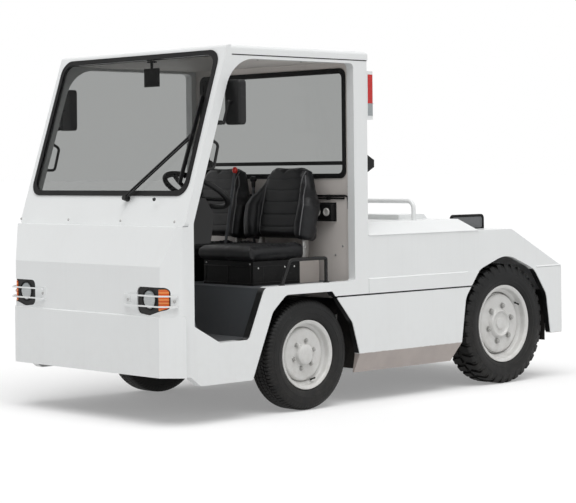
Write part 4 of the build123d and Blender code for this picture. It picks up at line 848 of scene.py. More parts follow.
# Tyre outlines in millimetres: (inboard of the rim face, radius), from the bead to the tread,
# mirrored about the tyre's middle
FRONT_CARCASS = [
    (8.5, 178.5), (8.5, 191), (6.5, 196.5), (0.5, 199.5), (-4.5, 205), (-8.5, 213), (-11.5, 223),
    (-13.2, 232), (-13.6, 234), (-14.8, 235), (-14.9, 238.5), (-14, 239.5), (-14, 250),
    (-13.3, 258), (-12.4, 264), (-12.2, 265.5), (-13.2, 266.5), (-12.8, 269.5), (-11.5, 270.5),
    (-10, 276), (-7.2, 284), (-3, 292), (3, 298.5), (11, 302.5), (22, 304), (50, 304.4),
]
REAR_CARCASS = [
    (8.5, 222.5), (8.5, 236), (6, 242), (0, 246), (-5, 251), (-9, 259), (-11.5, 266), (-12.2, 268),
    (-13.6, 269), (-13.9, 272.5), (-13.4, 274), (-15.6, 284), (-16.8, 294), (-16.9, 303),
    (-16.1, 312), (-15.9, 313.5), (-16.6, 314.5), (-16, 317.5), (-14.8, 319), (-12.8, 328),
    (-10.2, 338), (-6.5, 347), (-1, 354.5), (7, 359.5), (18, 361.6), (50, 362),
]
TYRES = {
    "front": {"carcass": FRONT_CARCASS, "width": 150},
    "rear": {"carcass": REAR_CARCASS, "width": 165},
}


def tyre_point(side, centre, inboard, radius, angle):
    """Point on a tyre from its own millimetres and the angle round the axle."""
    x = side * (RIM_FACE - inboard / 1000)
    reach = radius / 1000
    return Vector((x, centre.y + reach * sin(angle), centre.z + reach * cos(angle)))


def tread_block(side, centre, chain, start, end, lean=0.0, chamfer=1.6, depth=9.0):
    """Block of tread: an outline across the tyre carried round it between two distances.

    The chain holds the top outline as (inboard, radius); start, end and chamfer are
    millimetres round the tread, and lean is how far round the block drifts per millimetre
    inboard.
    """
    floor = [(inboard + 0.5, radius - depth) for inboard, radius in chain[::-1]]
    low = [(i, r - chamfer * 0.8) for i, r in chain]
    scale = 1 / chain[-1][1]
    rings = []
    for place, top in ((start, low), (start + chamfer, chain), (end - chamfer, chain), (end, low)):
        ring = []
        for inboard, radius in top + floor:
            drift = place + lean * (inboard - chain[0][0])
            ring.append(tyre_point(side, centre, inboard, radius, drift * scale))
        rings.append(ring)
    return ring_stack(rings)


def front_pitch(side, centre, pitch):
    """One pitch of the front tread: a shoulder bar each side and three rib blocks."""
    shoulder = [(-9.3, 279), (-6.8, 286), (-2, 294.5), (5, 302.5), (13, 308.4), (21, 310.8), (33, 311.3)]
    far = [(150 - i, r) for i, r in shoulder[::-1]]
    bar = pitch - 5.4
    half = pitch / 2
    parts = [tread_block(side, centre, shoulder, 0.0, bar, 0.03, 2.0, 10)]
    parts.append(tread_block(side, centre, far, half, half + bar, 0.03, 2.0, 10))
    for first, last, shift, lean in ((37.5, 56, 0.2, 0.35), (60.5, 89.5, 0.55, -0.3), (94, 112.5, 0.0, 0.35)):
        chain = [(first, 311.1), ((first + last) / 2, 311.4), (last, 311.1)]
        start = shift * pitch
        parts.append(tread_block(side, centre, chain, start, start + pitch - 2.0, lean))
    return join(*parts)


def rear_pitch(side, centre, pitch):
    """One pitch of the rear tread: a traction lug each side, stepped down its shoulder."""
    lug = [(-9.5, 341), (-8, 352), (-5, 364), (1, 371.5), (9, 373.4), (40, 373.8), (72, 373.8)]
    foot = [(-15.3, 318), (-14.6, 327), (-12, 337), (-9.6, 345), (-7, 352)]
    bridge = [(-5.5, 353), (-1, 359.5), (8, 364.5), (18, 366.5)]
    parts = []
    for turned, shift in ((False, 0.0), (True, 0.5)):
        chains = [lug, foot, bridge]
        if turned:
            chains = [[(165 - i, r) for i, r in chain[::-1]] for chain in chains]
        start = shift * pitch
        lean = 0.20 if not turned else -0.20
        offset = 0.0 if not turned else 0.20 * 81.5
        parts.append(tread_block(side, centre, chains[0], start + offset, start + offset + 40, lean, 2.4, 13))
        foot_start = start + (7 if not turned else 7 + 0.2 * 0)
        parts.append(tread_block(side, centre, chains[1], foot_start, foot_start + 26, 0.0, 2.0, 5))
        gap_start = start + 48
        parts.append(tread_block(side, centre, chains[2], gap_start, gap_start + 12, 0.0, 1.8, 6))
    return join(*parts)


def tyre_mesh(side, centre, kind, count, material):
    """Whole tyre: the carcass and the ring of tread round it."""
    sizes = TYRES[kind]
    half = sizes["carcass"]
    rows = half + [(sizes["width"] - inboard, radius) for inboard, radius in half[::-1]]
    rows = [(inboard / 1000, radius / 1000) for inboard, radius in rows]
    origin = Vector((side * RIM_FACE, centre.y, centre.z))
    shell = turned_shell(rows, origin, (-side, 0, 0), 144)
    radius = half[-1][1]
    pitch = tau * radius / count
    block = front_pitch if kind == "front" else rear_pitch
    tread = ringed(block(side, centre, pitch), centre, count, material)
    return join(shell, parts_of(tread))


def axle_centre(station, height):
    return at(0, station, height)


class TRACTOR_OT_tread_tyres(Operator):
    """Replace the plain tyres with treaded ones of the same size"""

    bl_idname = "tractor.tread_tyres"
    bl_label = "Tread the Tyres"

    def execute(self, context):
        build_ring_tree()
        build_row_tree()
        build_fastener_tree()
        rubber = MATERIALS["tyre_rubber"]
        tyres = context.scene.tractor_tyres
        counts = {"front": tyres.front_bars, "rear": tyres.rear_lugs}
        for name, side, station, height, kind in WHEELS:
            centre = axle_centre(station, height)
            form = tyre_mesh(side, centre, kind, counts[kind], rubber)
            tyre = piece(f"tread_{name}", form, rubber, f"wheel_{name}", "tyre_rubber", 30)
            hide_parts(f"tyre_{name}")
        return {"FINISHED"}


# Wheel fittings in metres: bolt circle, depth of the disc there, nut across flats, nut height,
# stud radius, first nut's angle, valve radius, valve depth, valve angle
FITTINGS = {
    "front": (0.080, 0.0370, 0.019, 0.013, 0.0055, 0.25, 0.158, 0.040, 2.75),
    "rear": (0.113, 0.0413, 0.027, 0.019, 0.0080, 0.25, 0.203, 0.046, 0.95),
}


def valve(place, way):
    """Short rubber valve with its cap, from a foot along a way."""
    rows = [(0, 0.006), (0.006, 0.0058), (0.010, 0.0045), (0.026, 0.0042), (0.028, 0.0052)]
    rows += [(0.040, 0.0052), (0.042, 0.003)]
    return turned_form(rows, place, way, 14)


class TRACTOR_OT_dress_wheels(Operator):
    """Add wheel nuts and valves"""

    bl_idname = "tractor.dress_wheels"
    bl_label = "Dress the Wheels"

    def execute(self, context):
        for name, side, station, height, kind in WHEELS:
            circle, depth, flats, rise, stud, first, out, sunk, turn = FITTINGS[kind]
            centre = axle_centre(station, height)
            rows = []
            for k in range(6):
                angle = first + tau * k / 6
                place = tyre_point(side, centre, depth * 1000, circle * 1000, angle)
                rows.append((place, (side, 0, 0)))
            # The nuts' darker bare steel is painted shade: it stands in for the shadows round the nuts
            nuts = fastened(wheel_nut(flats, rise, stud), rows, MATERIALS["bare_steel"])
            body = f"wheel_{name}"
            piece(f"nuts_{name}", parts_of(nuts), MATERIALS["bare_steel"], body, "bare_steel", 25)
            foot = tyre_point(side, centre, sunk * 1000, out * 1000, turn)
            inward = tyre_point(side, centre, sunk * 1000, (out - 0.03) * 1000, turn) - foot
            way = Vector((side, 0, 0)) * 0.03 + inward * 0.35
            piece(f"valve_{name}", valve(foot, way), MATERIALS["black_rubber"], body, "black_rubber")
        return {"FINISHED"}


# ------------------------------------------------------------------ seats
SEAT_X = 0.288
BACK_LEAN = radians(9)
BACK_FOOT = at(0, 1.203, 0.8486)
BACK_AHEAD = Vector((0, -cos(BACK_LEAN), sin(BACK_LEAN)))
BACK_RISE = Vector((0, sin(BACK_LEAN), cos(BACK_LEAN)))

# Backrest before it is filled, in millimetres: (half width, length up the back)
BACK_SHELL = [
    (240, 92), (258, 112), (264, 200), (264, 285), (254, 330), (234, 368), (212, 408), (190, 450),
    (170, 490), (148, 518), (108, 535),
]
# Side bolsters: (X, length up the back, middle ahead of the front plane, half width, half depth)
BACK_BOLSTER = [
    (214, 94, -8, 38, 44), (220, 114, -4, 46, 56), (225, 200, -2, 47, 62), (227, 290, -3, 46, 60),
    (210, 342, -12, 45, 50), (190, 382, -24, 42, 38), (168, 428, -32, 38, 30), (148, 476, -38, 32, 26),
    (126, 512, -42, 24, 20),
]
# Piping between the middle panel and the bolsters: (X, length up the back)
BACK_SEAM = [
    (154, 104), (157, 200), (155, 290), (150, 360), (146, 420), (143, 470), (141, 500),
]
BACK_EDGE = [(232, 116), (241, 200), (242, 288), (218, 342), (192, 384), (170, 430), (152, 474)]
BACK_CHANNELS = (172, 245, 318, 390, 456)
# How far the front plane stands ahead at the foot and at the top of a backrest, in millimetres
FOOT_AHEAD, TOP_AHEAD = 24, 4

CUSHION_BOLSTER = [
    (206, 796, 884, 27, 24), (210, 850, 890, 28, 24), (210, 940, 893, 28, 24), (210, 1050, 898, 28, 24),
    (210, 1140, 903, 28, 22), (207, 1198, 902, 26, 20),
]
CUSHION_CHANNELS = (905, 985, 1065, 1140)


def back_point(across, rise, ahead):
    """Point on a backrest from its own millimetres."""
    offset = BACK_RISE * rise + BACK_AHEAD * ahead
    return BACK_FOOT + (Vector((across, 0, 0)) + offset) / 1000


def at_mm(x, station, height):
    return at(x / 1000, station / 1000, height / 1000)


def soft_bar(rows, across_way, depth_way, sides=20, square=0.72):
    """Closed bar of squarish rings; rows are (centre, half width, half depth) in metres."""
    rings = []
    for centre, width, depth in rows:
        ring = []
        for k in range(sides):
            angle = tau * k / sides
            reach = copysign(abs(cos(angle)) ** square, cos(angle)) * width
            rise = copysign(abs(sin(angle)) ** square, sin(angle)) * depth
            ring.append(centre + across_way * reach + depth_way * rise)
        rings.append(ring)
    return ring_stack(rings)


def leaned(part):
    """Backrest points brought ahead, most at the foot."""
    points = []
    for point in part[0]:
        rise = (point - BACK_FOOT).dot(BACK_RISE) * 1000
        share = max(0.0, min(1.0, (rise - 100) / 380))
        ahead = FOOT_AHEAD + (TOP_AHEAD - FOOT_AHEAD) * share
        points.append(point + BACK_AHEAD * (ahead / 1000))
    return points, part[1]


def backrest_form():
    """Closed rough shape of a backrest, before it is filled."""
    outline = BACK_SHELL + [(-half, rise) for half, rise in BACK_SHELL[::-1]]
    matrix = Matrix((Vector((1, 0, 0)), BACK_RISE, BACK_AHEAD)).transposed().to_4x4()
    matrix.translation = BACK_FOOT
    panel = slab([(x / 1000, y / 1000) for x, y in outline], matrix, -0.080, -0.004, 0.022, 4)
    rows = [(back_point(x, up, out), w / 1000, d / 1000) for x, up, out, w, d in BACK_BOLSTER]
    bolster = soft_bar(rows, Vector((1, 0, 0)), BACK_AHEAD)
    return leaned(join(panel, both_sides(bolster)))


def cushion_form():
    """Closed rough shape of a seat cushion, before it is filled."""
    panel = rounded_block(at_mm(-230, 778, 842), at_mm(230, 1216, 910), 0.026, 4)
    rows = [(at_mm(x, s, h), w / 1000, d / 1000) for x, s, h, w, d in CUSHION_BOLSTER]
    bolster = soft_bar(rows, Vector((1, 0, 0)), Vector((0, 0, 1)))
    roll = soft_bar(
        [(at_mm(x, 800, 880), 0.034, 0.031) for x in (-226, -205, -100, 0, 100, 205, 226)],
        Vector((0, 1, 0)),
        Vector((0, 0, 1)),
    )
    return join(panel, both_sides(bolster), roll)


def applied(mesh, kind, **settings):
    """Mesh after one modifier."""
    holder = bpy.data.objects.new("worked", mesh)
    bpy.context.scene.collection.objects.link(holder)
    modifier = holder.modifiers.new("worked", kind)
    for key, value in settings.items():
        setattr(modifier, key, value)
    graph = bpy.context.evaluated_depsgraph_get()
    graph.update()
    made = bpy.data.meshes.new_from_object(holder.evaluated_get(graph))
    bpy.data.objects.remove(holder)
    return made


def filled(part, cap, voxel, pressure):
    """Skin a rough shape evenly and swell it like stuffed cloth, no point by more than the cap."""
    mesh = applied(mesh_of("rough", *part), "REMESH", mode="VOXEL", voxel_size=voxel)
    holder = bpy.data.objects.new("swelling", mesh)
    scene = bpy.context.scene
    scene.collection.objects.link(holder)
    cloth = holder.modifiers.new("swelling", "CLOTH")
    cloth.settings.use_pressure = True
    cloth.settings.uniform_pressure_force = pressure
    cloth.settings.effector_weights.gravity = 0
    cloth.settings.quality = 4
    cloth.collision_settings.use_collision = False
    for step in range(1, 21):
        scene.frame_set(step)
    graph = bpy.context.evaluated_depsgraph_get()
    swollen = bpy.data.meshes.new_from_object(holder.evaluated_get(graph))
    for old, new in zip(mesh.vertices, swollen.vertices):
        shift = new.co - old.co
        if shift.length > cap:
            new.co = old.co + shift.normalized() * cap
    scene.frame_set(1)
    holder.modifiers.clear()
    bpy.data.objects.remove(holder)
    return applied(swollen, "SMOOTH", factor=0.5, iterations=3)


def along(rows, value):
    """Value of a table of (output, input) rows at an input."""
    if value <= rows[0][1]:
        return rows[0][0]
    for (first, low), (second, high) in zip(rows, rows[1:]):
        if value <= high:
            return first + (second - first) * (value - low) / (high - low)
    return rows[-1][0]


def dip(distance, width):
    """1 on a seam, fading to 0 a few widths away."""
    return 2.718 ** (-((distance / width) ** 2))


def sew_backrest(mesh):
    """Press the seams, channels and gathers of a backrest into its front."""
    for vert in mesh.vertices:
        offset = (vert.co - BACK_FOOT) * 1000
        rise, ahead = offset.dot(BACK_RISE), offset.dot(BACK_AHEAD)
        if ahead < -64:
            continue
        side = abs(offset.x)
        seam = along(BACK_SEAM, rise)
        depth = 5.5 * dip(side - seam, 4.5) + 2.2 * dip(side - seam, 14)
        if side < seam:
            for channel in BACK_CHANNELS:
                bow = channel - 6 * (1 - (side / seam) ** 2)
                edge = min(1.0, (seam - side) / 8)
                depth += (3.0 * dip(rise - bow, 3.4) + 1.6 * dip(rise - bow, 14)) * edge
            depth -= 3.0 * (1 - (side / seam) ** 2)
        else:
            ruck = sin(rise / 7.5 + 2 * noise.noise(vert.co * 20))
            depth += 0.9 * ruck * dip(side - seam - 16, 12)
        wrinkle = noise.noise(Vector((vert.co.x * 9, vert.co.y * 9, vert.co.z * 15)))
        depth += 1.4 * wrinkle
        vert.co -= BACK_AHEAD * (depth / 1000)


def sew_cushion(mesh):
    """Press the seams and gathers of a cushion into its top and sides."""
    for vert in mesh.vertices:
        station = (vert.co.y + ORIGIN_STATION) * 1000
        side, height = abs(vert.co.x) * 1000, vert.co.z * 1000
        if height < 862:
            vert.co.z = max(vert.co.z, 0.8356)
            continue
        top = max(0.0, min(1.0, (height - 872) / 14))
        depth = 4.5 * dip(side - 158, 4.0) + 1.8 * dip(side - 158, 14)
        depth *= 1.0 if station > 866 else 0.0
        if side < 158:
            depth += 4.5 * dip(station - 866, 4.0) + 1.5 * dip(station - 866, 14)
            for channel in CUSHION_CHANNELS:
                depth += (1.6 * dip(station - channel, 3.6)) * min(1.0, (158 - side) / 10)
            depth -= 4.0 * (1 - (side / 158) ** 2)
        else:
            ruck = sin(station / 4.6) * min(1.0, max(0.0, (station - 900) / 80))
            depth += 1.3 * ruck * dip(side - 190, 26)
        depth += 1.6 * noise.noise(vert.co * 13)
        vert.co.z -= depth * top / 1000


def cord_on(mesh, points, way, lift=0.0012, radius=0.0036):
    """Piping laid on a mesh along points dropped onto it."""
    verts, faces = parts_of(mesh)
    tree = BVHTree.FromPolygons(verts, faces)
    line = []
    for point in points:
        hit = tree.ray_cast(Vector(point) - Vector(way) * 0.2, Vector(way), 0.4)[0]
        if hit is not None:
            line.append(hit - Vector(way) * lift)
    return pipe(line, radius, 8)


def finer(rows, steps=5):
    """Rows with evenly spread ones put between them."""
    out = []
    for first, second in zip(rows, rows[1:]):
        for k in range(steps):
            out.append(tuple(a + (b - a) * k / steps for a, b in zip(first, second)))
    return out + [rows[-1]]


def seat_bracket(x):
    """Pair of pressed steel straps that carry a backrest behind its cushion."""
    outline = [(0.0, 0.836), (0.046, 0.836), (0.052, 0.90), (0.046, 1.03), (0.020, 1.03), (0.006, 0.93)]
    straps = []
    for side in (-1, 1):
        place = Matrix(((0, 0, 1, 0), (1, 0, 0, 0), (0, 1, 0, 0), (0, 0, 0, 1)))
        place.translation = Vector((x + side * 0.184, 1.219 - ORIGIN_STATION, 0))
        straps.append(slab(outline, place, -0.003, 0.003, 0.0012, 2))
        hole = place.translation + Vector((0.003, 0.024, 0.90))
        bolt = turned_form([(0, 0.011), (0.004, 0.011), (0.005, 0.009)], hole, (1, 0, 0), 18)
        straps.append(bolt)
    return join(*straps)


def shifted_copy(part, x):
    return [Vector(v) + Vector((x, 0, 0)) for v in part[0]], part[1]


class TRACTOR_OT_upholster_seats(Operator):
    """Fill, sew and pipe the seat cushions and backrests"""

    bl_idname = "tractor.upholster_seats"
    bl_label = "Upholster the Seats"

    def execute(self, context):
        vinyl_finish, cord_finish = MATERIALS["black_vinyl"], MATERIALS["seat_piping"]
        seats = context.scene.tractor_seats
        back = filled(backrest_form(), 0.016, seats.voxel, seats.pressure)
        back = applied(back, "SUBSURF", levels=1, render_levels=1)
        sew_backrest(back)
        seat = filled(cushion_form(), 0.012, seats.voxel, seats.pressure)
        seat = applied(seat, "SUBSURF", levels=1, render_levels=1)
        sew_cushion(seat)
        seam, edge = finer(BACK_SEAM), finer(BACK_EDGE)
        cords = []
        for rows in (seam, edge):
            for side in (-1, 1):
                points = [back_point(side * x, up, 40) for x, up in rows]
                cords.append(cord_on(back, points, -BACK_AHEAD))
        rows = finer([(158, 868), (158, 1000), (158, 1180)])
        for side in (-1, 1):
            points = [at_mm(side * x, s, 960) for x, s in rows]
            cords.append(cord_on(seat, points, Vector((0, 0, -1)), radius=0.0026))
        piping = join(*cords)
        for name, x in (("driver", SEAT_X), ("passenger", -SEAT_X)):
            for kind, mesh in (("backrest", back), ("cushion", seat)):
                form = shifted_copy(parts_of(mesh), x)
                pad = piece(f"{name}_{kind}_cover", form, vinyl_finish, "chassis", "black_vinyl", 60)
                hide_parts(f"{name}_{kind}")
            form = shifted_copy(piping, x)
            # Piping in the grey of painted highlight
            piece(f"{name}_seat_piping", form, cord_finish, "chassis", "black_vinyl", 60)
            trim(f"{name}_seat_bracket", seat_bracket(x), "bare_steel")
        return {"FINISHED"}


# ------------------------------------------------------------------ wheel discs and side rails
# Wheel sizes in millimetres; disc rows are (inboard of the rim face, radius, rounding)
RIMS = {
    "front": {
        "width": 150, "flange": 195, "seat": 178, "drop": 158,
        "disc": [
            (70, 152, 0), (40, 148, 10), (34, 137, 8), (36, 100, 6), (38, 62, 4), (15, 57, 3),
            (10, 50, 4), (7, 40, 4), (6, 0, 0), (14, 0, 0), (14, 24, 0), (48, 26, 0), (50, 60, 6),
            (46, 100, 6), (43, 130, 6), (50, 141, 6), (78, 152, 0),
        ],
    },
    "rear": {
        "width": 165, "flange": 241, "seat": 222, "drop": 200,
        "disc": [
            (85, 194, 0), (50, 186, 12), (39, 172, 12), (40, 136, 8), (42, 96, 4), (24, 84, 3),
            (20, 76, 3), (34, 66, 4), (35, 38, 3), (26, 35, 3), (25, 0, 0), (27, 0, 0), (27, 32, 0),
            (56, 36, 0), (54, 96, 6), (52, 132, 6), (50, 165, 8), (60, 178, 8), (95, 194, 0),
        ],
    },
}


# Painted shade: a thin black sheet in the crevice between the disc and the barrel, from (inboard, radius) rows
# just off the metal
PAINTED_GAP_SHADE = {
    "front": [(38.5, 142), (41, 145.5), (50, 148), (66, 150.5)],
    "rear": [(44, 178), (49, 183.5), (56, 186.5), (80, 192)],
}


def rounded_corners(rows, steps=4):
    """Outline with each corner turned on its own rounding length."""
    points = []
    count = len(rows)
    for i, (x, y, turn) in enumerate(rows):
        here = Vector((x, y))
        if not turn:
            points.append((x, y))
            continue
        before = Vector(rows[i - 1][:2]) - here
        after = Vector(rows[(i + 1) % count][:2]) - here
        start = here + before.normalized() * min(turn, before.length * 0.45)
        end = here + after.normalized() * min(turn, after.length * 0.45)
        for k in range(steps + 1):
            t = k / steps
            point = start * (1 - t) ** 2 + here * (2 * t * (1 - t)) + end * t**2
            points.append(tuple(point))
    return points


def wheel_form(side, centre, kind):
    """Rim barrel and recessed disc of one wheel."""
    sizes = RIMS[kind]
    width, flange, seat, drop = (sizes[key] for key in ("width", "flange", "seat", "drop"))
    rows = [(0, flange - 2, 0), (2, flange + 0.2, 2), (6, flange + 0.2, 2), (8, flange - 2, 2)]
    rows += [(8, seat, 0), (0.3 * width, seat, 6), (0.37 * width, drop, 6), (0.63 * width, drop, 6)]
    rows += [(0.7 * width, seat, 6), (width - 8, seat, 0), (width - 8, flange, 2), (width, flange, 2)]
    rows += [(width, seat - 6, 0), (0.7 * width + 4, seat - 6, 6), (0.63 * width + 3, drop - 6, 6)]
    rows += [(0.37 * width - 3, drop - 6, 8), (0.3 * width - 4, seat - 5, 8), (9, seat - 4, 6)]
    rows += [(3, seat + 6, 5), (0, seat + 12, 3)]
    origin = Vector((side * RIM_FACE, centre.y, centre.z))
    parts = []
    for outline in (rows, sizes["disc"]):
        spun = [(inboard / 1000, max(out, 0.004) / 1000) for inboard, out in rounded_corners(outline)]
        parts.append(turned_shell(spun, origin, (-side, 0, 0), 96))
    return join(*parts)


class TRACTOR_OT_shape_wheels(Operator):
    """Replace the plain wheels with pressed ones of the same size, with a black sheet of painted shade in the
    crevice behind each disc
    """

    bl_idname = "tractor.shape_wheels"
    bl_label = "Shape the Wheels"

    def execute(self, context):
        for name, side, station, height, kind in WHEELS:
            form = wheel_form(side, axle_centre(station, height), kind)
            wheel = piece(
                f"disc_{name}", form, MATERIALS["wheel_paint"], f"wheel_{name}", "wheel_paint", 40
            )
            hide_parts(f"wheel_{name}")
            # Thin black sheet of painted shade in the crevice between the disc and the barrel
            origin = Vector((side * RIM_FACE, at(0, station, 0).y, height))
            outline = PAINTED_GAP_SHADE[kind]
            rows = [(d / 1000, r / 1000) for d, r in outline]
            rows += [((d + 0.5) / 1000, (r + 0.5) / 1000) for d, r in outline[::-1]]
            gap = turned_shell(rows, origin, (-side, 0, 0), 72)
            hollow = MATERIALS["painted_shade_black"]
            piece(f"disc_gap_{name}", gap, hollow, f"wheel_{name}", "black_paint", 60)
        return {"FINISHED"}


# Hoop beside each seat: (station, height) points, closer together at its bends
HOOP = [
    (0.829, 0.7105), (0.846, 0.747), (0.872, 0.803), (0.884, 0.829), (0.897, 0.847), (0.925, 0.849),
    (1.03, 0.849), (1.13, 0.849), (1.158, 0.849), (1.175, 0.846), (1.175, 0.828), (1.175, 0.79),
    (1.175, 0.7105),
]


class TRACTOR_OT_bend_hoops(Operator):
    """Bend the hoops that stand on the sills beside the seats"""

    bl_idname = "tractor.bend_hoops"
    bl_label = "Bend the Hoops"

    def execute(self, context):
        bar = pipe([at(0.711, s, h) for s, h in HOOP], 0.0102, 16)
        feet = [
            turned_form([(0, 0.019), (0.003, 0.019), (0.0045, 0.012)], at(0.711, s, 0.7101), (0, 0, 1), 24)
            for s in (0.829, 1.175)
        ]
        hoops = both_sides(join(bar, *feet))
        form = trim("seat_side_hoops", hoops, "black_paint")
        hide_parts("hip_hoops")
        return {"FINISHED"}


# ------------------------------------------------------------------ lamps and mirrors
LAMP = (0.555, 0.672)       # X and height of the round front lamp


def ring_form(centre, axis, radius, thickness, sides=40):
    """Round wire ring about an axis."""
    rows = []
    for k in range(12):
        angle = tau * k / 12
        rows.append((thickness * sin(angle), radius + thickness * cos(angle)))
    return turned_shell(rows, centre, axis, sides)


class TRACTOR_OT_dress_lamps(Operator):
    """Add bezels and screws to the lamps and their guards"""

    bl_idname = "tractor.dress_lamps"
    bl_label = "Dress the Lamps"

    def execute(self, context):
        x, height = LAMP
        bezel = turned_shell(
            [(0, 0.0500), (-0.004, 0.0505), (-0.006, 0.0525),
             (-0.006, 0.0555), (-0.003, 0.058), (0.001, 0.058)],
            at(x, 0.0145, height), (0, 1, 0), 56,
        )
        trim("lamp_bezels", both_sides(bezel), "black_rubber")
        rows = []
        rows.append((at(0.385, 0.0045, 0.6655), (0, -1, 0)))
        rows.append((at(0.7125, 0.0545, 0.6655), (0.657, -0.754, 0)))
        screws = parts_of(fastened(screw_head(0.0080, 0.004), rows, MATERIALS["bare_steel"]))
        trim("guard_screws", both_sides(screws), "bare_steel")
        seam = rounded_block(at(0.660, 1.5575, 1.7275), at(0.7285, 1.5592, 1.7305), 0.0006, 1)
        cover = [seam]
        for z in (1.648, 1.907):
            rows = [(0, 0.006), (0.002, 0.0055), (0.003, 0.003)]
            cover.append(turned_form(rows, at(0.697, 1.5578, z), (0, 1, 0), 16))
        trim("tail_lamp_screws", both_sides(join(*cover)), "black_plastic")
        return {"FINISHED"}


class TRACTOR_OT_fit_mirrors(Operator):
    """Fit the silvered faces and their rims to the mirrors"""

    bl_idname = "tractor.fit_mirrors"
    bl_label = "Fit the Mirrors"

    def execute(self, context):
        silver = MATERIALS["mirror_silver"]
        place = frame_at(at(0.747, 0.486, 1.7165), (0, 1, 0))
        face = slab(rounded_outline(0.106, 0.222, 0.018), place, -0.001, 0.0015, 0.0008, 1)
        inner = frame_at(at(0.040, 0.476, 1.878), (0, 1, 0))
        middle = slab(rounded_outline(0.114, 0.094, 0.014), inner, -0.001, 0.0015, 0.0008, 1)
        piece("mirror_faces", join(both_sides(face), middle), silver, "chassis", "bare_steel")
        rim = frame_at(at(0.747, 0.4845, 1.7165), (0, 1, 0))
        bead = [rim @ Vector((u, v, 0.0)) for u, v in rounded_outline(0.117, 0.234, 0.022)]
        loop = pipe(bead, 0.0035, 8, closed=True)
        clamp = turned_form(
            [(-0.014, 0.0105), (-0.013, 0.012), (0.013, 0.012), (0.014, 0.0105)],
            at(0.724, 0.372, 1.606), (0, 1, 0), 24,
        )
        shell = both_sides(join(loop, clamp))
        trim("mirror_rims", shell, "black_plastic")
        return {"FINISHED"}


# ------------------------------------------------------------------ controls
WHEEL_CENTRE = at(0.300, 0.570, 1.240)
WHEEL_AXIS = Vector((0, 0.5, 0.866))


def ball(centre, radius, squash=1.0, sides=24):
    """Closed ball, flattened along Z."""
    rows = []
    for k in range(1, 12):
        angle = pi * k / 12
        rows.append((-radius * squash * cos(angle), radius * sin(angle)))
    return turned_form(rows, centre, (0, 0, 1), sides)


class TRACTOR_OT_dress_controls(Operator):
    """Add the wheel's finger grips and cap, the lever knobs and the lever boots"""

    bl_idname = "tractor.dress_controls"
    bl_label = "Dress the Controls"

    def execute(self, context):
        first, second = across(WHEEL_AXIS)
        grips = []
        for k in range(72):
            angle = tau * k / 72
            out = first * cos(angle) + second * sin(angle)
            centre = WHEEL_CENTRE + out * 0.1865 - WHEEL_AXIS.normalized() * 0.0065
            along = WHEEL_AXIS.cross(out).normalized()
            place = Matrix((along, out, WHEEL_AXIS.normalized())).transposed().to_4x4()
            place.translation = centre
            grips.append(oriented_block((0.0092, 0.0235, 0.0195), 0.0042, place, 2))
        plastic = MATERIALS["black_plastic"]
        piece("steering_wheel_grips", join(*grips), plastic, "steering_wheel", "black_plastic", 50)
        cap = turned_form(
            [(-0.012, 0.040), (-0.004, 0.041), (0.002, 0.038), (0.006, 0.026), (0.007, 0.010)],
            WHEEL_CENTRE - WHEEL_AXIS.normalized() * 0.006, WHEEL_AXIS, 36,
        )
        piece("horn_cap", cap, plastic, "steering_wheel", "black_plastic")
        red = ball(at(0, 1.128, 1.350), 0.0164, 1.25)
        piece("red_lever_knob", red, MATERIALS["red_knob"], "chassis", "black_plastic")
        boots = []
        for station in (1.010, 1.278):
            rows = [(0.029, 0.036), (0.034, 0.034), (0.040, 0.026), (0.046, 0.029), (0.054, 0.021)]
            rows += [(0.060, 0.023), (0.070, 0.014), (0.084, 0.0115)]
            boots.append(turned_form(rows, at(0, station, 0.700), (0, 0.06, 1), 28))
        knob = ball(at(0, 1.276, 1.295), 0.0212, 0.9)
        rows = [(0, 0.0105), (0.03, 0.0125), (0.034, 0.010)]
        collar = turned_form(rows, at(0, 1.2762, 1.246), (0, 0, 1), 20)
        rubber = join(*boots, knob, collar)
        trim("lever_boots", rubber, "black_rubber")
        return {"FINISHED"}


# ------------------------------------------------------------------ cab lining
def long_bar(x, station, height, radius=0.002):
    """Rounded bar between two limits along each axis."""
    return rounded_block(at(x[0], station[0], height[0]), at(x[1], station[1], height[1]), radius, 2)


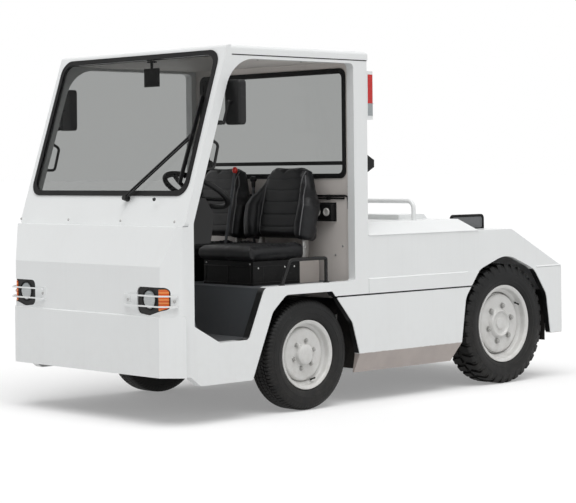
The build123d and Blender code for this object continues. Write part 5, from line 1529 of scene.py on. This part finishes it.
class TRACTOR_OT_line_cab(Operator):
    """Line the ceiling and trim the rear wall, the door openings and the seat box"""

    bl_idname = "tractor.line_cab"
    bl_label = "Line the Cab"

    def execute(self, context):
        rib = long_bar((-0.672, 0.672), (0.420, 0.432), (1.9705, 1.9742), 0.0016)
        ribs = lined(rib, 60, (0, 0.0165, 0), MATERIALS["beige_paint"])
        trim("ceiling_lining", parts_of(ribs), "beige_paint")
        rails = [
            long_bar((-0.640, 0.628), (1.4005, 1.4203), (1.190, 1.2015), 0.003),
            long_bar((-0.640, 0.640), (1.3955, 1.4053), (1.1755, 1.1855), 0.003),
        ]
        for x in (-0.55, -0.18, 0.18, 0.50):
            rails.append(long_bar((x, x + 0.026), (1.3945, 1.4053), (1.172, 1.203), 0.002))
        hook = [at(0.632, 1.402, 1.1965), at(0.655, 1.400, 1.1965), at(0.672, 1.396, 1.188)]
        hook += [at(0.680, 1.394, 1.165), at(0.680, 1.394, 1.120)]
        rails.append(pipe(hook, 0.0055, 10))
        rubber = MATERIALS["black_rubber"]
        piece("rear_wall_rails", join(*rails), rubber, "chassis", "black_rubber")
        box = [long_bar((0.411, 0.566), (1.368, 1.4052), (1.054, 1.150), 0.006)]
        box.append(long_bar((0.404, 0.573), (1.3985, 1.4052), (1.047, 1.157), 0.002))
        trim("socket_box", join(*box), "black_plastic")
        faces = []
        for x in (0.452, 0.526):
            rows = [(0, 0.024), (0.006, 0.024), (0.009, 0.021),
                    (0.009, 0.016), (0.004, 0.014), (0.003, 0.004)]
            faces.append(turned_form(rows, at(x, 1.3685, 1.102), (0, -1, 0), 32))
        piece("socket_faces", join(*faces), MATERIALS["pale_plastic"], "chassis", "beige_paint")
        seal = long_bar((0.736, 0.7396), (0.452, 1.4935), (1.9718, 1.9772), 0.0008)
        piece("door_seals", both_sides(seal), rubber, "chassis", "black_rubber")
        lines = []
        for side in (-1, 1):
            x = 0.300 * side
            for low, high in ((0.806, 0.8095), (0.712, 0.7155)):
                lines.append(long_bar((x - 0.207, x + 0.207), (0.7975, 0.8012), (low, high), 0.001))
            for shift in (-0.190, 0.0, 0.190):
                across = (x + shift - 0.002, x + shift + 0.002)
                lines.append(long_bar(across, (0.7975, 0.8012), (0.712, 0.8095), 0.001))
            edge = x + side * 0.2088
            near, far = sorted((edge - 0.0012 * side, edge + 0.0024 * side))
            for low, high in ((0.806, 0.8095), (0.714, 0.7175)):
                lines.append(long_bar((near, far), (0.802, 1.158), (low, high), 0.001))
            for station in (0.875, 1.06):
                lines.append(long_bar((near, far), (station, station + 0.004), (0.714, 0.8095), 0.001))
        trim("seat_box_seams", join(*lines), "black_paint")
        spots = []
        for side in (-1, 1):
            for station in (0.84, 1.045, 1.12):
                spots.append((at(side * 0.5105, station, 0.797), (side, 0, 0)))
            for x in (0.115, 0.485):
                spots.append((at(side * x, 0.7995, 0.821), (0, -1, 0)))
        screws = parts_of(fastened(screw_head(0.0055, 0.003), spots, MATERIALS["bright_screw"]))
        piece("seat_box_screws", screws, MATERIALS["bright_screw"], "chassis", "bare_steel")
        spots = []
        for x, z in ((0.620, 0.905), (0.560, 0.852), (0.655, 1.25),
                     (-0.620, 0.905), (-0.655, 1.25), (0.30, 1.02)):
            station = 1.405 if z < 1.186 else 1.420
            spots.append((at(x, station, z), (0, -1, 0)))
        for x in (-0.5, 0.5):
            for station in (0.52, 0.86, 1.20):
                spots.append((at(x, station, 1.9704), (0, 0, -1)))
        screws = parts_of(fastened(screw_head(0.007, 0.0035), spots, MATERIALS["bare_steel"]))
        trim("lining_screws", screws, "bare_steel")
        strip = long_bar((0.690, 0.7387), (1.236, 2.428), (0.6215, 0.6303), 0.0008)
        piece("skirt_seal", both_sides(strip), rubber, "chassis", "black_rubber")
        beads = []
        for first, last, low in ((1.497, 2.372, 0.7115), (3.04, 3.2865, 0.7165)):
            ends = []
            for station in (first, last):
                ring = [(0.7315, low - 0.0005), (0.7386, low - 0.0005), (0.7386, low + 0.0012)]
                ring += [(0.7328, low + 0.008), (0.7315, low + 0.008)]
                ends.append([at(x, station, z) for x, z in ring])
            beads.append(ring_stack(ends))
        trim("side_beads", both_sides(join(*beads)), "white_paint")
        fill = long_bar((0.7005, 0.7352), (1.4952, 1.4998), (0.632, 0.9645), 0.001)
        trim("pillar_sealant", both_sides(fill), "white_paint")
        return {"FINISHED"}


# ------------------------------------------------------------------ hood, deck and tail
class TRACTOR_OT_dress_hood(Operator):
    """Add the pull ring and the hinge screws of the engine hood"""

    bl_idname = "tractor.dress_hood"
    bl_label = "Dress the Hood"

    def execute(self, context):
        plate = long_bar((-0.030, 0.030), (2.3590, 2.3625), (1.040, 1.064), 0.0015)
        loop = ring_form(at(0, 2.368, 1.046), (0, 0.9, 0.35), 0.017, 0.0028)
        trim("hood_pull", join(plate, loop), "bare_steel", "engine_hood")
        rows = []
        for x in (-0.47, -0.43, 0.43, 0.47):
            rows.append((at(x, 1.560, 1.037), (0, 0, 1)))
            rows.append((at(x, 1.585, 1.037), (0, 0, 1)))
        bolts = parts_of(fastened(screw_head(0.0065, 0.0035), rows, MATERIALS["bare_steel"]))
        trim("hinge_screws", bolts, "bare_steel", "engine_hood")
        return {"FINISHED"}


class TRACTOR_OT_dress_tail(Operator):
    """Add the bolts of the rear plate and the grey face of the deck guard"""

    bl_idname = "tractor.dress_tail"
    bl_label = "Dress the Tail"

    def execute(self, context):
        rows = []
        for x in (-0.655, -0.35, 0, 0.35, 0.655):
            for z in (0.345, 0.605):
                rows.append((at(x, 3.3005, z), (0, 1, 0)))
        for x in (-0.115, 0.115):
            for z in (0.40, 0.47, 0.55, 0.62):
                rows.append((at(x, 3.3005, z), (0, 1, 0)))
        bolts = parts_of(fastened(bolt_head(0.019, 0.008, 0.0135), rows, MATERIALS["bare_steel"]))
        trim("rear_plate_bolts", bolts, "bare_steel")
        place = frame_at(at(0.5035, 2.6385, 1.006), (1, 0, 0))
        plate = slab(rounded_outline(0.284, 0.070, 0.016), place, 0.0004, 0.0035, 0.001, 2)
        piece("guard_plate", plate, MATERIALS["guard_grey"], "chassis", "black_paint")
        return {"FINISHED"}


# Foot of the panel under the windscreen, and how far it leans back per metre of height
COWL_STATION, COWL_HEIGHT, SCREEN_LEAN = 0.070, 1.054, 0.3236


class TRACTOR_OT_fit_fasteners(Operator):
    """Fit the screws and the washer nozzle of the panel under the windscreen"""

    bl_idname = "tractor.fit_fasteners"
    bl_label = "Fit the Fasteners"

    def execute(self, context):
        rise = Vector((0, -0.951, 0.308))
        rows = []
        for x in (-0.69, -0.235, 0.235, 0.69):
            rows.append((cowl_point(x, 1.082), rise))
        screws = parts_of(fastened(screw_head(0.0075, 0.004), rows, MATERIALS["bare_steel"]))
        trim("cowl_screws", screws, "bare_steel")
        foot = cowl_point(0.481, 1.198)
        nozzle = turned_form([(0, 0.010), (0.005, 0.009), (0.008, 0.005), (0.012, 0.004)], foot, rise, 20)
        trim("washer_nozzle", nozzle, "black_plastic")
        return {"FINISHED"}


def cowl_point(x, height):
    """Point on the outside of the panel under the windscreen."""
    return at(x, COWL_STATION + (height - COWL_HEIGHT) * SCREEN_LEAN, height)


# ------------------------------------------------------------------ settings
class PaintSettings(PropertyGroup):
    """Colours of the body and its trim."""

    body: FloatVectorProperty(
        name="Body Colour",
        description="Paint on the body panels",
        default=FINISHES["white_paint"][0],
        subtype="COLOR",
        min=0,
        max=1,
    )
    wheels: FloatVectorProperty(
        name="Wheel Colour",
        description="Paint on the wheels",
        default=FINISHES["wheel_paint"][0],
        subtype="COLOR",
        min=0,
        max=1,
    )


class SeatSettings(PropertyGroup):
    """How the seats are filled."""

    pressure: FloatProperty(
        name="Filling Pressure", description="How hard the padding pushes out", default=4.0, min=0
    )
    voxel: FloatProperty(
        name="Skin Step",
        description="Distance between the points of the cushion skins",
        default=0.0064,
        min=0.003,
        subtype="DISTANCE",
        unit="LENGTH",
    )


class TyreSettings(PropertyGroup):
    """Tread of the tyres."""

    front_bars: IntProperty(
        name="Front Pitches", description="Tread pitches round a front tyre", default=84, min=12
    )
    rear_lugs: IntProperty(
        name="Rear Lugs", description="Lugs round each side of a rear tyre", default=34, min=12
    )


class StudioSettings(PropertyGroup):
    """Light level and camera of the studio."""

    sky: FloatProperty(
        name="Sky Level", description="Strength of the even light", default=0.46, min=0
    )
    lamp: FloatProperty(
        name="Lamp Strength", description="Strength of the main lamp", default=2.1, min=0
    )
    lens: FloatProperty(
        name="Lens", description="Focal length in millimetres", default=112.9, min=10
    )


# ------------------------------------------------------------------ operators
class TRACTOR_OT_paint_nodes(Operator):
    """Give each carried-over piece its finish"""

    bl_idname = "tractor.paint_nodes"
    bl_label = "Paint the Solids"

    def execute(self, context):
        paint = context.scene.tractor_paint
        build_materials(paint.body, paint.wheels)
        slots = {row["node"]: row["material_slot"] for row in frame["record"]["subparts"]}
        for name, node in NODES.items():
            finish = NODE_FINISH.get(name, slots[name])
            for holder in node.material_slots:
                holder.material = MATERIALS[finish]
        return {"FINISHED"}


class TRACTOR_OT_set_stage(Operator):
    """Set the floor, the lamps and the camera"""

    bl_idname = "tractor.set_stage"
    bl_label = "Set the Stage"

    def execute(self, context):
        settings = context.scene.tractor_studio
        scene = context.scene
        scene.view_settings.view_transform = "Standard"
        reach = 200
        ends = [(-reach, -reach, 0), (reach, -reach, 0), (reach, reach, 0), (-reach, reach, 0)]
        floor = mesh_of("floor", ends, [(0, 1, 2, 3)])
        ground = bpy.data.objects.new("floor", floor)
        scene.collection.objects.link(ground)
        floor.materials.append(stage_floor())
        stage_sky(scene, settings.sky)
        stage_lamps(scene, settings.lamp)
        stage_camera(scene, settings.lens)
        return {"FINISHED"}


def seen_directly(net):
    """1 for what the camera sees itself, in a reflection or through glass."""
    path = net.add("ShaderNodeLightPath").outputs
    seen = net.math("MAXIMUM", path["Is Camera Ray"], path["Is Glossy Ray"])
    return net.math("MAXIMUM", seen, path["Is Transmission Ray"])


def stage_floor():
    """Matt white floor that keeps the shadow and otherwise meets the white backdrop."""
    material = bpy.data.materials.new("studio_floor")
    material.use_nodes = True
    material.node_tree.nodes.clear()
    net = Net(material.node_tree)
    matt = net.add("ShaderNodeBsdfDiffuse", {"Color": (0.7, 0.7, 0.7, 1)})
    lift = net.add("ShaderNodeEmission", {"Color": (1, 1, 1, 1)})
    net.feed(lift.inputs["Strength"], net.math("MULTIPLY", seen_directly(net), 0.26))
    total = net.add("ShaderNodeAddShader", {0: matt.outputs[0], 1: lift.outputs[0]})
    net.add("ShaderNodeOutputMaterial", {"Surface": total.outputs[0]})
    return material


def stage_sky(scene, level):
    world = bpy.data.worlds.new("studio_sky")
    scene.world = world
    world.use_nodes = True
    world.node_tree.nodes.clear()
    net = Net(world.node_tree)
    strength = net.span(seen_directly(net), 0.0, 1.0, level, 1.0)
    glow = net.add("ShaderNodeBackground", {"Color": (1, 1, 1, 1), "Strength": strength})
    net.add("ShaderNodeOutputWorld", {"Surface": glow.outputs[0]})


# Lamps: name, share of the strength, spread in degrees, the way that it comes from
LAMPS = [
    ("main", 1.0, 50, (0.30, -0.26, 0.92)),
    ("side", 0.10, 70, (0.90, 0.25, 0.35)),
]


def stage_lamps(scene, strength):
    for name, share, spread, source in LAMPS:
        lamp = bpy.data.lights.new(name, "SUN")
        lamp.energy = strength * share
        lamp.angle = radians(spread)
        holder = bpy.data.objects.new(name, lamp)
        holder.rotation_euler = (-Vector(source)).to_track_quat("-Z", "Y").to_euler()
        scene.collection.objects.link(holder)


def stage_camera(scene, lens):
    turn = radians(46.389)
    roll = 0.0102
    ahead = Vector((-sin(turn), cos(turn), 0))
    up = Vector((0, 0, 1))
    right = ahead.cross(up)
    camera = bpy.data.cameras.new("camera")
    camera.lens = lens
    camera.sensor_fit = "HORIZONTAL"
    camera.sensor_width = 36
    camera.shift_y = -0.142
    holder = bpy.data.objects.new("camera", camera)
    x = right * cos(roll) - up * sin(roll)
    y = right * sin(roll) + up * cos(roll)
    matrix = Matrix((x, y, -ahead)).transposed().to_4x4()
    matrix.translation = (7.972, -7.739, 1.35)
    holder.matrix_world = matrix
    scene.collection.objects.link(holder)
    scene.camera = holder


# ------------------------------------------------------------------ panel
STEPS = (
    TRACTOR_OT_paint_nodes,
    TRACTOR_OT_upholster_seats,
    TRACTOR_OT_tread_tyres,
    TRACTOR_OT_shape_wheels,
    TRACTOR_OT_dress_wheels,
    TRACTOR_OT_bend_hoops,
    TRACTOR_OT_dress_lamps,
    TRACTOR_OT_fit_mirrors,
    TRACTOR_OT_dress_controls,
    TRACTOR_OT_line_cab,
    TRACTOR_OT_dress_hood,
    TRACTOR_OT_dress_tail,
    TRACTOR_OT_fit_fasteners,
    TRACTOR_OT_set_stage,
)


class TRACTOR_PT_finish(Panel):
    """Lists the steps that dress the tow tractor"""

    bl_label = "Tow Tractor"
    bl_idname = "TRACTOR_PT_finish"
    bl_space_type = "VIEW_3D"
    bl_region_type = "UI"
    bl_category = "Tow Tractor"

    def draw(self, context):
        layout = self.layout
        for group, _ in SETTINGS:
            for name in getattr(context.scene, group).bl_rna.properties.keys():
                if name not in {"rna_type", "name"}:
                    layout.prop(getattr(context.scene, group), name)
        for step in STEPS:
            layout.operator(step.bl_idname)


SETTINGS = (
    ("tractor_paint", PaintSettings),
    ("tractor_seats", SeatSettings),
    ("tractor_tyres", TyreSettings),
    ("tractor_studio", StudioSettings),
)


def register():
    for _, group in SETTINGS:
        bpy.utils.register_class(group)
    for step in STEPS:
        bpy.utils.register_class(step)
    bpy.utils.register_class(TRACTOR_PT_finish)
    for name, group in SETTINGS:
        setattr(bpy.types.Scene, name, PointerProperty(type=group))


def unregister():
    for name, _ in SETTINGS:
        delattr(bpy.types.Scene, name)
    bpy.utils.unregister_class(TRACTOR_PT_finish)
    for step in reversed(STEPS):
        bpy.utils.unregister_class(step)
    for _, group in reversed(SETTINGS):
        bpy.utils.unregister_class(group)


def main():
    register()
    for step in STEPS:
        group, name = step.bl_idname.split(".")
        getattr(getattr(bpy.ops, group), name)()


if __name__ == "__main__":
    main()
